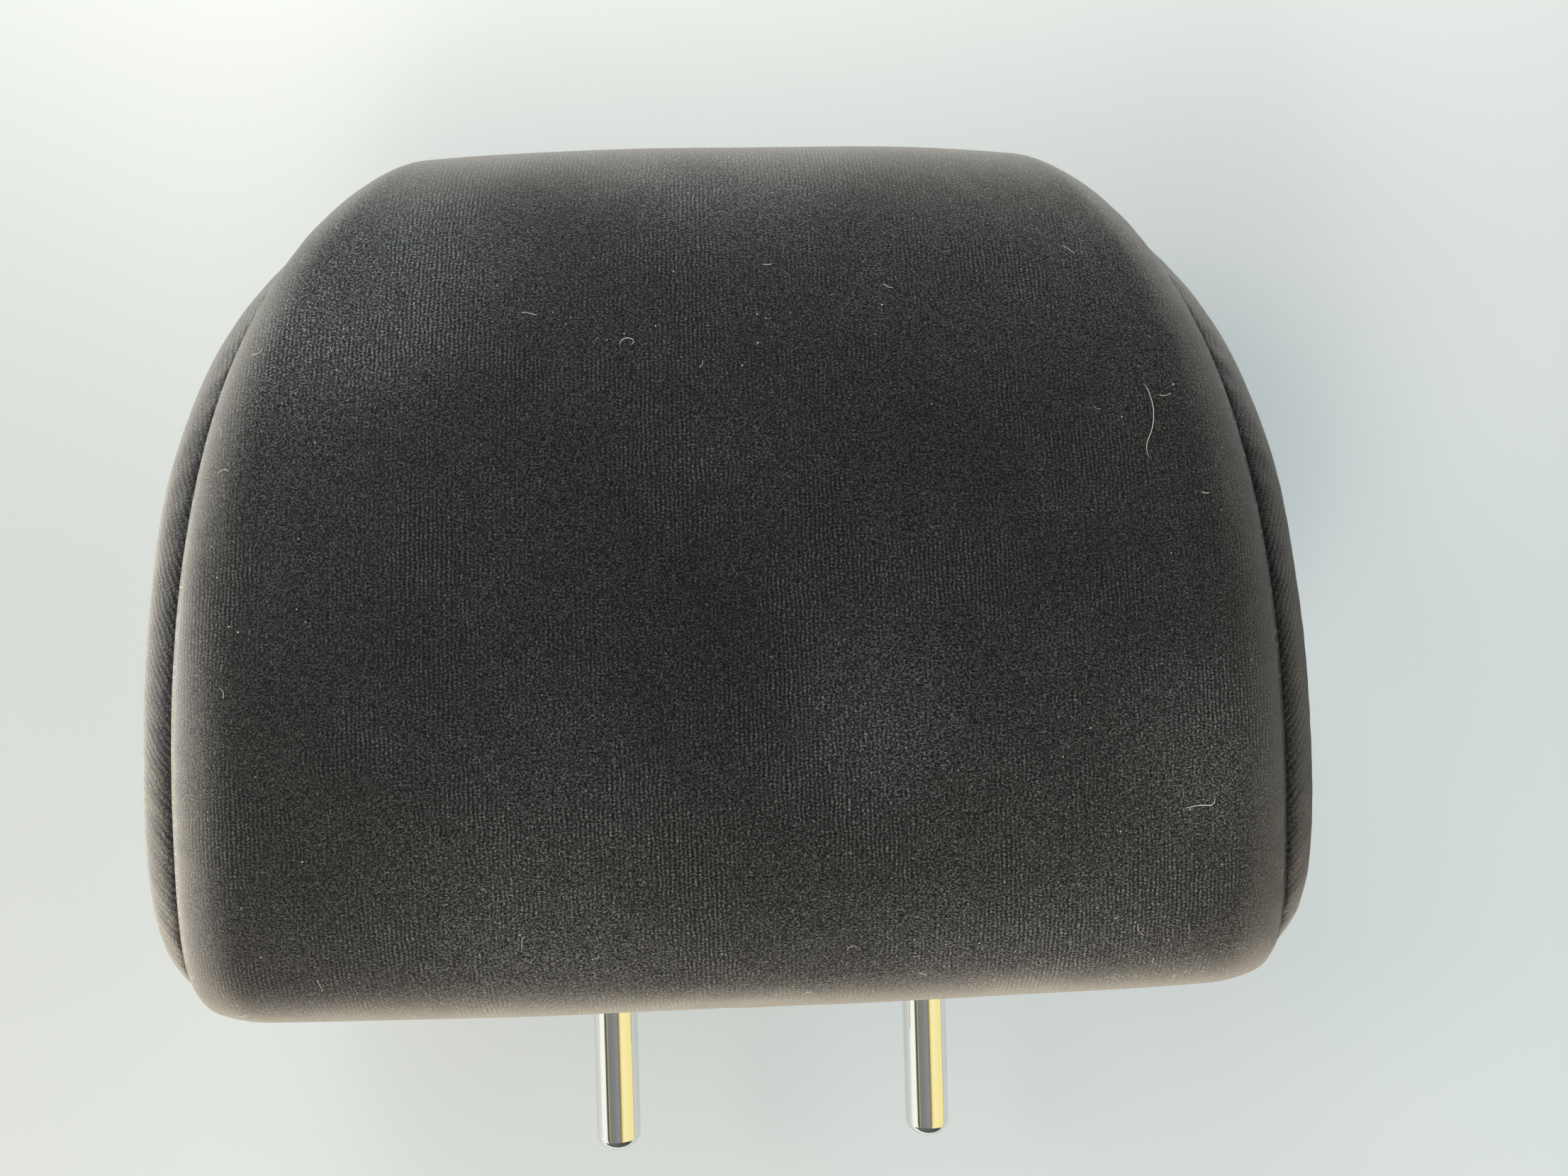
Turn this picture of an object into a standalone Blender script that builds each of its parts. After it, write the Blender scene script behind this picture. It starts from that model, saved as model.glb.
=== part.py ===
"""Rear head restraint of a car: a fabric-covered foam cushion on a bent steel rod.

The rod is one bar, bent to a U. Its two ends are the chromed posts that plug into the
seat back. A wire loop and a plate are welded to it, foam is moulded round them, and a
sewn cover goes over the foam: one long centre panel from the underside up the front,
over the top and down the back, and a bulged gusset at each end. Two plastic strips hook
the cover shut along the underside, and a collar trims the hole that each post comes
through.

Frame: metres, +Z up along the posts, -Y towards the head of the person who sits there,
+X to the right as seen from that side. The origin lies midway between the two posts, in
the plane of the cushion's underside.
"""

import math

import bmesh
import bpy
import numpy as np
from mathutils import Matrix

MM = 0.001

# Cushion, outside of the cover
CUSHION_HEIGHT = 213 * MM
FRONT_REACH = 76.5 * MM
BACK_REACH = 43 * MM
CUSHION_OFFSET = -6.7 * MM
SEAM_WIDTH = 253 * MM
TOP_SEAM_WIDTH = 181 * MM
WIDEST_HEIGHT = 45 * MM
SHOULDER_POWER = 2.7

# How far the centre panel falls away towards its seams, on each of its four sides
FRONT_FALL = 14.5 * MM
BACK_FALL = 12 * MM
TOP_FALL = 10 * MM
UNDER_FALL = 2 * MM
FALL_POWER = 6

# Gussets and the valley along each seam
GUSSET_BULGE = 13.4 * MM
BULGE_POWER = 7
GUSSET_EYE_HEIGHT = 74 * MM
GUSSET_BLEND_POWER = 8
VALLEY_DEPTH = 2.6 * MM
VALLEY_REACH = 7 * MM

# Cover and the gap that separate pieces keep
COVER_THICKNESS = 3.5 * MM
FIT_GAP = 0.3 * MM
SEAM_GAP = 0.4 * MM

# Stay rod
POST_DIAMETER = 12 * MM
POST_SPACING = 86 * MM
POST_EXPOSED = 54 * MM
POST_TIP_ROUNDING = 4 * MM
ROD_HEIGHT = 150 * MM
ROD_BEND_RADIUS = 24 * MM

# Wire loop behind the rod
WIRE_DIAMETER = 5 * MM
WIRE_LOOP_WIDTH = 168 * MM
WIRE_LOOP_BOTTOM = 38 * MM
WIRE_LOOP_HEIGHT = 124 * MM
WIRE_BEND_RADIUS = 18 * MM

# Plate in front of the rod
PLATE_THICKNESS = 1.5 * MM
PLATE_WIDTH = 124 * MM
PLATE_HEIGHT = 78 * MM
PLATE_BOTTOM = 48 * MM
PLATE_CORNER_RADIUS = 10 * MM
PLATE_HOLE_DIAMETER = 30 * MM

# Collars at the posts
COLLAR_WALL = 1.3 * MM
COLLAR_FLANGE_WIDTH = 3.4 * MM
COLLAR_FLANGE_THICKNESS = 1.6 * MM
COLLAR_EDGE_ROUNDING = 0.5 * MM
RING_WIDTH = 2.0 * MM
RING_THICKNESS = 1.6 * MM

# Closing strips along the underside
SLOT_CENTRE = 19.5 * MM
SLOT_WIDTH = 8 * MM
STRIP_LENGTH = 160 * MM
STRIP_WALL = 1.2 * MM
STRIP_TONGUE = 3.6 * MM
HOOK_SETBACK = 0.6 * MM

# How far a cutter runs past the face that it opens
CUT_REACH = 7 * MM

# Resolution of the curved pieces
OUTLINE_STATIONS = 48
OUTLINE_SAMPLES = 960
BEND_STEPS = 7
ROD_BEVEL_RESOLUTION = 10
WIRE_BEVEL_RESOLUTION = 3
ROUND_SIDES = 32
EDGE_STEPS = 4
SMOOTH_ANGLE = math.radians(40)

# Where the panel and the gusset have a line of points: shares of the way from the seam
# to the panel's middle, and to the gusset's middle
PANEL_SHARES = [0, 0.02, 0.05, 0.1, 0.2, 0.38, 0.65]
GUSSET_SHARES = [0, 0.05, 0.13, 0.27, 0.48, 0.74]

# Control points of the side outline, as shares of the depth from the front and of the
# height from the underside. The curve is a closed spline that they pull towards them.
SIDE_OUTLINE = [
    (0.98, 0.00), (0.80, 0.00), (0.50, 0.00), (0.18, 0.00),
    (0.016, 0.053), (-0.017, 0.22), (-0.01, 0.42), (0.04, 0.64),
    (0.12, 0.87), (0.34, 1.06), (0.62, 1.06), (0.86, 0.88),
    (0.96, 0.64), (1.04, 0.38), (1.06, 0.16), (1.04, 0.02),
]


def material(name, colour, roughness, metallic=0.0):
    """A plain Principled material."""
    made = bpy.data.materials.new(name)
    made.use_nodes = True
    shader = made.node_tree.nodes["Principled BSDF"]
    shader.inputs["Base Color"].default_value = (*colour, 1.0)
    shader.inputs["Roughness"].default_value = roughness
    shader.inputs["Metallic"].default_value = metallic
    return made


def placed(name, mesh, finish, smooth=True):
    """An object for a mesh, linked to the scene, with its material."""
    if smooth:
        mesh.shade_smooth()
        mesh.set_sharp_from_angle(angle=SMOOTH_ANGLE)
    obj = bpy.data.objects.new(name, mesh)
    obj.data.materials.append(finish)
    bpy.context.scene.collection.objects.link(obj)
    return obj


def mesh_of(bm, name):
    """Turns a closed bmesh into a mesh whose faces point out."""
    bmesh.ops.recalc_face_normals(bm, faces=bm.faces)
    if bm.calc_volume(signed=True) < 0:
        bmesh.ops.reverse_faces(bm, faces=bm.faces)
    mesh = bpy.data.meshes.new(name)
    bm.to_mesh(mesh)
    bm.free()
    return mesh


def cutter(mesh):
    """A helper that only cuts other pieces."""
    obj = bpy.data.objects.new("cut_" + mesh.name, mesh)
    bpy.context.scene.collection.objects.link(obj)
    obj.hide_render = True
    obj.display_type = "WIRE"
    return obj


def cut(obj, *cutters):
    """Subtracts each cutter from the object with a Boolean."""
    for tool in cutters:
        modifier = obj.modifiers.new("cut " + tool.name, "BOOLEAN")
        modifier.operation = "DIFFERENCE"
        modifier.object = tool


# The form of the cushion


def closed_spline(points, count):
    """Points along a closed uniform cubic B-spline."""
    control = np.asarray(points, float)
    place = np.linspace(0, len(control), count, endpoint=False)
    first = np.floor(place).astype(int)
    f = (place - first)[:, None]
    a, b, c, d = (control[(first + k) % len(control)] for k in (-1, 0, 1, 2))
    return (
        (1 - f) ** 3 * a
        + (3 * f**3 - 6 * f**2 + 4) * b
        + (-3 * f**3 + 3 * f**2 + 3 * f + 1) * c
        + f**3 * d
    ) / 6


def side_outline():
    """The cushion's outline in side view, at its middle: y and z."""
    fine = closed_spline(SIDE_OUTLINE, OUTLINE_SAMPLES)
    low, high = fine.min(0), fine.max(0)
    share = (closed_spline(SIDE_OUTLINE, OUTLINE_STATIONS) - low) / (high - low)
    y = -FRONT_REACH + share[:, 0] * (FRONT_REACH + BACK_REACH)
    return y, share[:, 1] * CUSHION_HEIGHT


def seam_half_width(z):
    """Half the centre panel's width at a height: a superellipse above the widest one."""
    rise = np.clip((z - WIDEST_HEIGHT) / (CUSHION_HEIGHT - WIDEST_HEIGHT), 0, 1)
    narrowing = (TOP_SEAM_WIDTH / SEAM_WIDTH) ** SHOULDER_POWER
    return SEAM_WIDTH / 2 * (1 - (1 - narrowing) * rise**SHOULDER_POWER) ** (1 / SHOULDER_POWER)


def inset(y, z, front, back, top, under):
    """How far a point of the outline moves when its four sides each move in by an amount."""
    share_y = (y + FRONT_REACH) / (FRONT_REACH + BACK_REACH)
    share_z = z / CUSHION_HEIGHT
    return front * (1 - share_y) - back * share_y, under * (1 - share_z) - top * share_z


def valley(distance):
    """Depth of the valley at a distance from the seam."""
    return VALLEY_DEPTH * np.clip(1 - distance / VALLEY_REACH, 0, 1) ** 2


def panel_grid():
    """The centre panel's outer face, in columns from its left seam to its right seam."""
    y, z = (line[:, None] for line in side_outline())
    half = seam_half_width(z)
    right = half * (1 - np.array(PANEL_SHARES)[None, :])
    x = np.concatenate([-right, np.zeros((len(y), 1)), right[:, ::-1]], axis=1)
    fall_y, fall_z = inset(y, z, FRONT_FALL, BACK_FALL, TOP_FALL, UNDER_FALL)
    dip_y, dip_z = inset(y, z, 1, 1, 1, 1)
    fallen = (np.abs(x) / half) ** FALL_POWER
    dip = valley(half - np.abs(x))
    return np.stack([x, y + fall_y * fallen + dip_y * dip, z + fall_z * fallen + dip_z * dip], axis=-1)


def gusset_grid(panel):
    """The right gusset's outer face, in columns from its seam to the middle of the gusset.

    Each column is the seam's loop drawn in towards one point. Its width is the panel's at
    that height, plus a bulge that is full at the middle and none at the seam."""
    seam = panel[:, -1]
    half = seam[:, 0]
    middle = np.array([(BACK_REACH - FRONT_REACH) / 2, GUSSET_EYE_HEIGHT])
    drawn = 1 - np.append(GUSSET_SHARES, 1.0)[None, :]
    side = middle + drawn[..., None] * (seam[:, None, 1:] - middle)
    at_height = seam_half_width(np.clip(side[..., 1], 0, CUSHION_HEIGHT))
    hold = drawn**GUSSET_BLEND_POWER
    x = at_height * (1 - hold) + half[:, None] * hold
    x = x + GUSSET_BULGE * (1 - drawn**BULGE_POWER)
    reach = np.hypot(*(seam[:, 1:] - middle).T)[:, None]
    x = x - valley((1 - drawn) * reach) * (1 - hold)
    return np.concatenate([x[..., None], side], axis=-1)


def skin():
    """The whole outer face of the cushion, its inward directions and its across directions.

    The columns run from the middle of the left gusset to the middle of the right one."""
    panel = panel_grid()
    right = gusset_grid(panel)
    left = right[:, ::-1] * np.array([-1, 1, 1])
    points = np.concatenate([left[:, :-1], panel, right[:, 1:]], axis=1)
    along = np.roll(points, -1, axis=0) - np.roll(points, 1, axis=0)
    across = np.gradient(points, axis=1)
    inward = np.cross(along, across)
    length = np.linalg.norm(inward, axis=-1, keepdims=True)
    inward = inward / np.maximum(length, 1e-12)
    inward[:, 0] = (1, 0, 0)
    inward[:, -1] = (-1, 0, 0)
    across = across / np.maximum(np.linalg.norm(across, axis=-1, keepdims=True), 1e-12)
    points = points + np.array([CUSHION_OFFSET, 0, 0])
    return points, inward, across


def lofted(name, columns, finish, ring=False):
    """A closed solid through columns of points. A column of equal points becomes one point.

    As a ring, the last column joins the first, unless both are single points. Each four
    points are split along the shorter diagonal, so that nested solids bend alike."""
    bm = bmesh.new()
    loops = []
    for column in columns:
        pole = np.ptp(column, axis=0).max() < FIT_GAP / 100
        loops.append([bm.verts.new(p) for p in (column[:1] if pole else column)])
    pairs = list(zip(loops, loops[1:]))
    if ring:
        pairs.append((loops[-1], loops[0]))
    for one, two in pairs:
        count = max(len(one), len(two))
        for i in range(count if count > 1 else 0):
            a, b = one[i % len(one)], one[(i + 1) % len(one)]
            c, d = two[(i + 1) % len(two)], two[i % len(two)]
            if a is b or c is d:
                bm.faces.new(dict.fromkeys((a, b, c, d)))
            elif (a.co - c.co).length < (b.co - d.co).length:
                bm.faces.new((a, b, c))
                bm.faces.new((a, c, d))
            else:
                bm.faces.new((a, b, d))
                bm.faces.new((b, c, d))
    return placed(name, mesh_of(bm, name), finish)


def cover_columns(first, last):
    """The columns of one cover piece: its outer face, then its inner face back again.

    Its edge on a seam keeps half the seam's gap."""
    points, inward, across = skin()
    outer = points[:, first : last + 1].copy()
    seams = (len(GUSSET_SHARES), points.shape[1] - 1 - len(GUSSET_SHARES))
    if first in seams:
        outer[:, 0] += across[:, first] * SEAM_GAP / 2
    if last in seams:
        outer[:, -1] -= across[:, last] * SEAM_GAP / 2
    inner = outer + inward[:, first : last + 1] * COVER_THICKNESS
    return [outer[:, i] for i in range(outer.shape[1])], [
        inner[:, i] for i in reversed(range(inner.shape[1]))
    ]


def make_centre_panel(finish):
    """The long panel: a loop round the cushion from one seam to the other."""
    count = skin()[0].shape[1]
    outer, inner = cover_columns(len(GUSSET_SHARES), count - 1 - len(GUSSET_SHARES))
    return lofted("centre_panel", outer + inner, finish, ring=True)


def make_gussets(finish):
    """The bulged end piece on each side."""
    count = skin()[0].shape[1]
    outer, inner = cover_columns(0, len(GUSSET_SHARES))
    lofted("left_gusset", outer + inner, finish, ring=True)
    outer, inner = cover_columns(count - 1 - len(GUSSET_SHARES), count - 1)
    lofted("right_gusset", outer + inner, finish, ring=True)


def make_foam_core(finish):
    """The foam bun: it fills the cover."""
    points, inward, _ = skin()
    inside = points + inward * (COVER_THICKNESS + FIT_GAP)
    return lofted("foam_core", [inside[:, i] for i in range(inside.shape[1])], finish)


# Rod, wire and plate


def bent_bar(name, corners, radius, bend, resolution, closed=False, tip=0.0, growth=0.0):
    """Mesh of a round bar through corner points in the XZ plane, bent with one radius.

    A tip above zero rounds the bar's two ends. Growth makes the bar thicker all over."""
    path = []
    corners = [np.array(c, float) for c in corners]
    for i, corner in enumerate(corners):
        if not closed and i in (0, len(corners) - 1):
            path.append((corner, 1.0))
            continue
        before = corners[i - 1] - corner
        after = corners[(i + 1) % len(corners)] - corner
        before, after = before / np.linalg.norm(before), after / np.linalg.norm(after)
        turn = math.pi - math.acos(np.clip(before @ after, -1, 1))
        centre = corner + (before + after) * bend * math.tan(turn / 2) / (1 + before @ after)
        start = corner + before * bend * math.tan(turn / 2) - centre
        end = corner + after * bend * math.tan(turn / 2) - centre
        for k in range(BEND_STEPS + 1):
            f = k / BEND_STEPS
            spoke = math.sin((1 - f) * turn) * start + math.sin(f * turn) * end
            path.append((centre + spoke / math.sin(turn), 1.0))
    if tip:
        path = rounded_end(path, radius, tip)
        path = rounded_end(path[::-1], radius, tip)[::-1]
    curve = bpy.data.curves.new(name, "CURVE")
    curve.dimensions = "3D"
    curve.bevel_depth = radius + growth
    curve.bevel_resolution = resolution
    curve.use_fill_caps = not closed
    spline = curve.splines.new("POLY")
    spline.points.add(len(path) - 1)
    spline.use_cyclic_u = closed
    for point, (place, share) in zip(spline.points, path):
        point.co = (*place, 1.0)
        point.radius = share
    helper = bpy.data.objects.new(name, curve)
    bpy.context.scene.collection.objects.link(helper)
    mesh = bpy.data.meshes.new_from_object(helper.evaluated_get(bpy.context.evaluated_depsgraph_get()))
    mesh.name = name
    bpy.data.objects.remove(helper)
    bm = bmesh.new()
    bm.from_mesh(mesh)
    bmesh.ops.remove_doubles(bm, verts=bm.verts, dist=FIT_GAP / 100)
    bmesh.ops.recalc_face_normals(bm, faces=bm.faces)
    bm.to_mesh(mesh)
    bm.free()
    return mesh


def rounded_end(path, radius, tip):
    """Adds points to the start of a path, where the bar narrows along a quarter circle."""
    (end, _), (after, _) = path[:2]
    inward = (after - end) / np.linalg.norm(after - end)
    added = []
    for k in range(EDGE_STEPS + 1):
        angle = math.pi / 2 * k / EDGE_STEPS
        width = radius - tip + tip * math.sin(angle)
        added.append((end + inward * tip * (1 - math.cos(angle)), width / radius))
    return added + path[1:]


def stay_rod_mesh(name, growth=0.0):
    """The U-shaped bar: up one post, across, and down the other."""
    side = POST_SPACING / 2
    low, high = -POST_EXPOSED, ROD_HEIGHT
    corners = [(-side, 0, low), (-side, 0, high), (side, 0, high), (side, 0, low)]
    return bent_bar(
        name,
        corners,
        POST_DIAMETER / 2,
        ROD_BEND_RADIUS,
        ROD_BEVEL_RESOLUTION,
        tip=0.0 if growth else POST_TIP_ROUNDING,
        growth=growth,
    )


def frame_wire_mesh(name, growth=0.0):
    """The closed wire loop, lying on the back of the rod."""
    side = WIRE_LOOP_WIDTH / 2
    y = (POST_DIAMETER + WIRE_DIAMETER) / 2 + FIT_GAP
    low, high = WIRE_LOOP_BOTTOM, WIRE_LOOP_BOTTOM + WIRE_LOOP_HEIGHT
    corners = [(-side, y, low), (-side, y, high), (side, y, high), (side, y, low)]
    return bent_bar(
        name,
        corners,
        WIRE_DIAMETER / 2,
        WIRE_BEND_RADIUS,
        WIRE_BEVEL_RESOLUTION,
        closed=True,
        growth=growth,
    )


def plate_mesh(name, growth=0.0):
    """The flat plate with round corners that lies on the front of the rod."""
    bm = bmesh.new()
    bmesh.ops.create_cube(bm, size=1)
    size = (PLATE_WIDTH + 2 * growth, PLATE_THICKNESS + 2 * growth, PLATE_HEIGHT + 2 * growth)
    bmesh.ops.scale(bm, vec=size, verts=bm.verts)
    corners = [e for e in bm.edges if abs(e.verts[0].co.y - e.verts[1].co.y) > size[1] / 2]
    bmesh.ops.bevel(
        bm,
        geom=corners,
        offset=PLATE_CORNER_RADIUS,
        segments=EDGE_STEPS,
        profile=0.5,
        affect="EDGES",
    )
    y = -(POST_DIAMETER + PLATE_THICKNESS) / 2 - FIT_GAP
    bmesh.ops.translate(bm, vec=(0, y, PLATE_BOTTOM + PLATE_HEIGHT / 2), verts=bm.verts)
    return mesh_of(bm, name)


# Turned and extruded pieces


def turned(name, outline, x):
    """Mesh of an outline of (radius, z) points turned about the axis of a post."""
    bm = bmesh.new()
    points = [bm.verts.new((r, 0, z)) for r, z in outline]
    edges = [bm.edges.new(pair) for pair in zip(points, points[1:] + points[:1])]
    bmesh.ops.spin(
        bm,
        geom=points + edges,
        cent=(0, 0, 0),
        axis=(0, 0, 1),
        angle=2 * math.pi,
        steps=ROUND_SIDES,
    )
    bmesh.ops.remove_doubles(bm, verts=bm.verts, dist=FIT_GAP / 100)
    bmesh.ops.translate(bm, vec=(x, 0, 0), verts=bm.verts)
    return mesh_of(bm, name)


def disc(name, radius, low, high, x=0.0, z=0.0, axis="Z"):
    """Mesh of a plain cylinder along Z between two heights, or along Y between two depths."""
    bm = bmesh.new()
    bmesh.ops.create_cone(
        bm,
        cap_ends=True,
        segments=ROUND_SIDES,
        radius1=radius,
        radius2=radius,
        depth=high - low,
    )
    if axis == "Y":
        bmesh.ops.rotate(bm, matrix=Matrix.Rotation(math.pi / 2, 3, "X"), verts=bm.verts)
        bmesh.ops.translate(bm, vec=(x, (low + high) / 2, z), verts=bm.verts)
    else:
        bmesh.ops.translate(bm, vec=(x, 0, (low + high) / 2), verts=bm.verts)
    return mesh_of(bm, name)


def extruded(name, outline, length):
    """Mesh of a (y, z) outline extruded along X, centred on the cushion."""
    bm = bmesh.new()
    start = CUSHION_OFFSET - length / 2
    face = bm.faces.new([bm.verts.new((start, y, z)) for y, z in outline])
    grown = bmesh.ops.extrude_face_region(bm, geom=[face])["geom"]
    moved = [v for v in grown if isinstance(v, bmesh.types.BMVert)]
    bmesh.ops.translate(bm, vec=(length, 0, 0), verts=moved)
    return mesh_of(bm, name)


def box_mesh(name, low, high):
    """Mesh of a box between two corners."""
    bm = bmesh.new()
    bmesh.ops.create_cube(bm, size=1)
    low, high = np.array(low), np.array(high)
    bmesh.ops.scale(bm, vec=high - low, verts=bm.verts)
    bmesh.ops.translate(bm, vec=(low + high) / 2, verts=bm.verts)
    return mesh_of(bm, name)


BORE_RADIUS = POST_DIAMETER / 2 + FIT_GAP
BARREL_RADIUS = BORE_RADIUS + COLLAR_WALL
FLANGE_RADIUS = BARREL_RADIUS + COLLAR_FLANGE_WIDTH
RING_INNER_RADIUS = BARREL_RADIUS + FIT_GAP
RING_OUTER_RADIUS = RING_INNER_RADIUS + RING_WIDTH
COVER_INSIDE = COVER_THICKNESS + FIT_GAP


def collar_outline():
    """Half section of a collar: a flange below the cover and a barrel up through it."""
    top = COVER_INSIDE + RING_THICKNESS
    low = -FIT_GAP - COLLAR_FLANGE_THICKNESS
    edge = COLLAR_EDGE_ROUNDING
    rounded = []
    for k in range(EDGE_STEPS + 1):
        angle = math.pi / 2 * k / EDGE_STEPS
        radius = FLANGE_RADIUS - edge + edge * math.sin(angle)
        rounded.append((radius, low + edge - edge * math.cos(angle)))
    return [
        (BORE_RADIUS, low),
        *rounded,
        (FLANGE_RADIUS, -FIT_GAP),
        (BARREL_RADIUS, -FIT_GAP),
        (BARREL_RADIUS, top),
        (BORE_RADIUS, top),
    ]


def ring_outline():
    """Half section of the ring that locks on a collar's barrel inside the cover."""
    low, high = COVER_INSIDE, COVER_INSIDE + RING_THICKNESS
    return [
        (RING_INNER_RADIUS, low),
        (RING_OUTER_RADIUS, low),
        (RING_OUTER_RADIUS, high),
        (RING_INNER_RADIUS, high),
    ]


def strip_levels():
    """Heights of the strips: where they lie on the cover's inner face, and their tops.

    The cover rises a little towards the ends of the strips, so they clear it there."""
    rise = UNDER_FALL * (STRIP_LENGTH / SEAM_WIDTH) ** FALL_POWER
    low = COVER_INSIDE + rise + FIT_GAP
    return low, low + STRIP_WALL


def front_strip_outline():
    """Section of the front closing strip: a tongue on the cover, and a hook that turns up."""
    low, top = strip_levels()
    web = SLOT_CENTRE - SLOT_WIDTH / 2 + FIT_GAP
    inside = web + STRIP_WALL
    lip = inside + STRIP_WALL + 2 * FIT_GAP
    floor = HOOK_SETBACK + STRIP_WALL
    return [
        (web - STRIP_TONGUE, low),
        (web, low),
        (web, HOOK_SETBACK),
        (lip + STRIP_WALL, HOOK_SETBACK),
        (lip + STRIP_WALL, low - FIT_GAP),
        (lip, low - FIT_GAP),
        (lip, floor),
        (inside, floor),
        (inside, top),
        (web - STRIP_TONGUE, top),
    ]


def rear_strip_outline():
    """Section of the rear closing strip: a tongue whose edge turns down into the hook."""
    low, top = strip_levels()
    edge = SLOT_CENTRE - SLOT_WIDTH / 2 + STRIP_WALL + 2 * FIT_GAP
    floor = HOOK_SETBACK + STRIP_WALL + FIT_GAP
    back = SLOT_CENTRE + SLOT_WIDTH / 2 + STRIP_TONGUE
    return [
        (edge, floor),
        (edge + STRIP_WALL, floor),
        (edge + STRIP_WALL, low),
        (back, low),
        (back, top),
        (edge, top),
    ]


def closing_slot():
    """Cutter for the slot in the cover where the two strips hook together."""
    half = STRIP_LENGTH / 2 + FIT_GAP
    return cutter(
        box_mesh(
            "closing_slot",
            (CUSHION_OFFSET - half, SLOT_CENTRE - SLOT_WIDTH / 2, -CUT_REACH),
            (CUSHION_OFFSET + half, SLOT_CENTRE + SLOT_WIDTH / 2, COVER_THICKNESS + CUT_REACH),
        )
    )


def closing_recess():
    """Cutter for the room that the strips take up in the foam."""
    half = STRIP_LENGTH / 2 + FIT_GAP
    reach = SLOT_WIDTH / 2 + STRIP_TONGUE + FIT_GAP
    return cutter(
        box_mesh(
            "closing_recess",
            (CUSHION_OFFSET - half, SLOT_CENTRE - reach, -CUT_REACH),
            (CUSHION_OFFSET + half, SLOT_CENTRE + reach, strip_levels()[1] + FIT_GAP),
        )
    )


def main():
    for obj in list(bpy.data.objects):
        bpy.data.objects.remove(obj, do_unlink=True)

    fabric = material("fabric", (0.035, 0.033, 0.031), 0.95)
    chrome = material("chrome", (0.78, 0.78, 0.76), 0.08, 1.0)
    steel = material("steel", (0.32, 0.32, 0.33), 0.45, 1.0)
    foam = material("foam", (0.72, 0.66, 0.47), 0.95)
    plastic = material("black_plastic", (0.02, 0.02, 0.02), 0.5)

    placed("stay_rod", stay_rod_mesh("stay_rod"), chrome)
    placed("frame_wire", frame_wire_mesh("frame_wire"), steel)
    plate = placed("head_plate", plate_mesh("head_plate"), steel)
    plate_y = -POST_DIAMETER / 2 - FIT_GAP
    plate_middle = PLATE_BOTTOM + PLATE_HEIGHT / 2
    hole = disc(
        "plate_hole",
        PLATE_HOLE_DIAMETER / 2,
        plate_y - PLATE_THICKNESS - CUT_REACH,
        plate_y + CUT_REACH,
        z=plate_middle,
        axis="Y",
    )
    cut(plate, cutter(hole))

    core = make_foam_core(foam)
    cut(
        core,
        cutter(stay_rod_mesh("rod_channel", FIT_GAP)),
        cutter(frame_wire_mesh("wire_channel", FIT_GAP)),
        cutter(plate_mesh("plate_channel", FIT_GAP)),
        closing_recess(),
    )

    panel = make_centre_panel(fabric)
    make_gussets(fabric)
    cut(panel, closing_slot())

    for name, side in (("left", -1), ("right", 1)):
        x = side * POST_SPACING / 2
        placed(f"{name}_post_collar", turned(f"{name}_post_collar", collar_outline(), x), plastic)
        placed(f"{name}_collar_ring", turned(f"{name}_collar_ring", ring_outline(), x), plastic)
        hole_top = COVER_THICKNESS + CUT_REACH
        post_hole = disc(f"{name}_hole", RING_INNER_RADIUS, -CUT_REACH, hole_top, x=x)
        cut(panel, cutter(post_hole))
        room = disc(
            f"{name}_ring_room",
            RING_OUTER_RADIUS + FIT_GAP,
            -CUT_REACH,
            COVER_INSIDE + RING_THICKNESS + FIT_GAP,
            x=x,
        )
        cut(core, cutter(room))

    placed(
        "front_closing_strip",
        extruded("front_closing_strip", front_strip_outline(), STRIP_LENGTH),
        plastic,
        smooth=False,
    )
    placed(
        "rear_closing_strip",
        extruded("rear_closing_strip", rear_strip_outline(), STRIP_LENGTH),
        plastic,
        smooth=False,
    )


main()
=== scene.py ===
import math

import bmesh
import bpy
import numpy as np
from bpy.props import FloatProperty, FloatVectorProperty, IntProperty, PointerProperty
from mathutils import Matrix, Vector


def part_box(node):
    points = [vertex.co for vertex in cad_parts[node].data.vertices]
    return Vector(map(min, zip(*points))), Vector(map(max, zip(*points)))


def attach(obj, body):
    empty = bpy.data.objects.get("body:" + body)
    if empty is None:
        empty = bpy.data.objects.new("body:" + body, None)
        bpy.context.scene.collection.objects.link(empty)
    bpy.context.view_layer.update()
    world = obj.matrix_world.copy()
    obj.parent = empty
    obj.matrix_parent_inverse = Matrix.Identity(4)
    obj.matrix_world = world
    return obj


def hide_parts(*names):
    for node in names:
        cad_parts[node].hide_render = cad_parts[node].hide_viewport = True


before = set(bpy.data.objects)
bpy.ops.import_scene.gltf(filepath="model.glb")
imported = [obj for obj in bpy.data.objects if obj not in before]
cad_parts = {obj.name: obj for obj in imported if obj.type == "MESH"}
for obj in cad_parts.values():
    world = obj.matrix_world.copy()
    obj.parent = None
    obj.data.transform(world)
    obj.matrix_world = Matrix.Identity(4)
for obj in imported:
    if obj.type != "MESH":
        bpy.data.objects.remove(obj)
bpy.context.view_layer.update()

bl_info = {
    "name": "Head restraint dressing",
    "version": (1, 0, 0),
    "blender": (4, 5, 0),
    "location": "View3D > Sidebar > Head restraint",
    "description": "Sews the fabric cover of a car's head restraint and finishes its posts and trim",
    "category": "Object",
}

MM = 0.001
ROD_LOW, ROD_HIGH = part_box("stay_rod")

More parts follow.
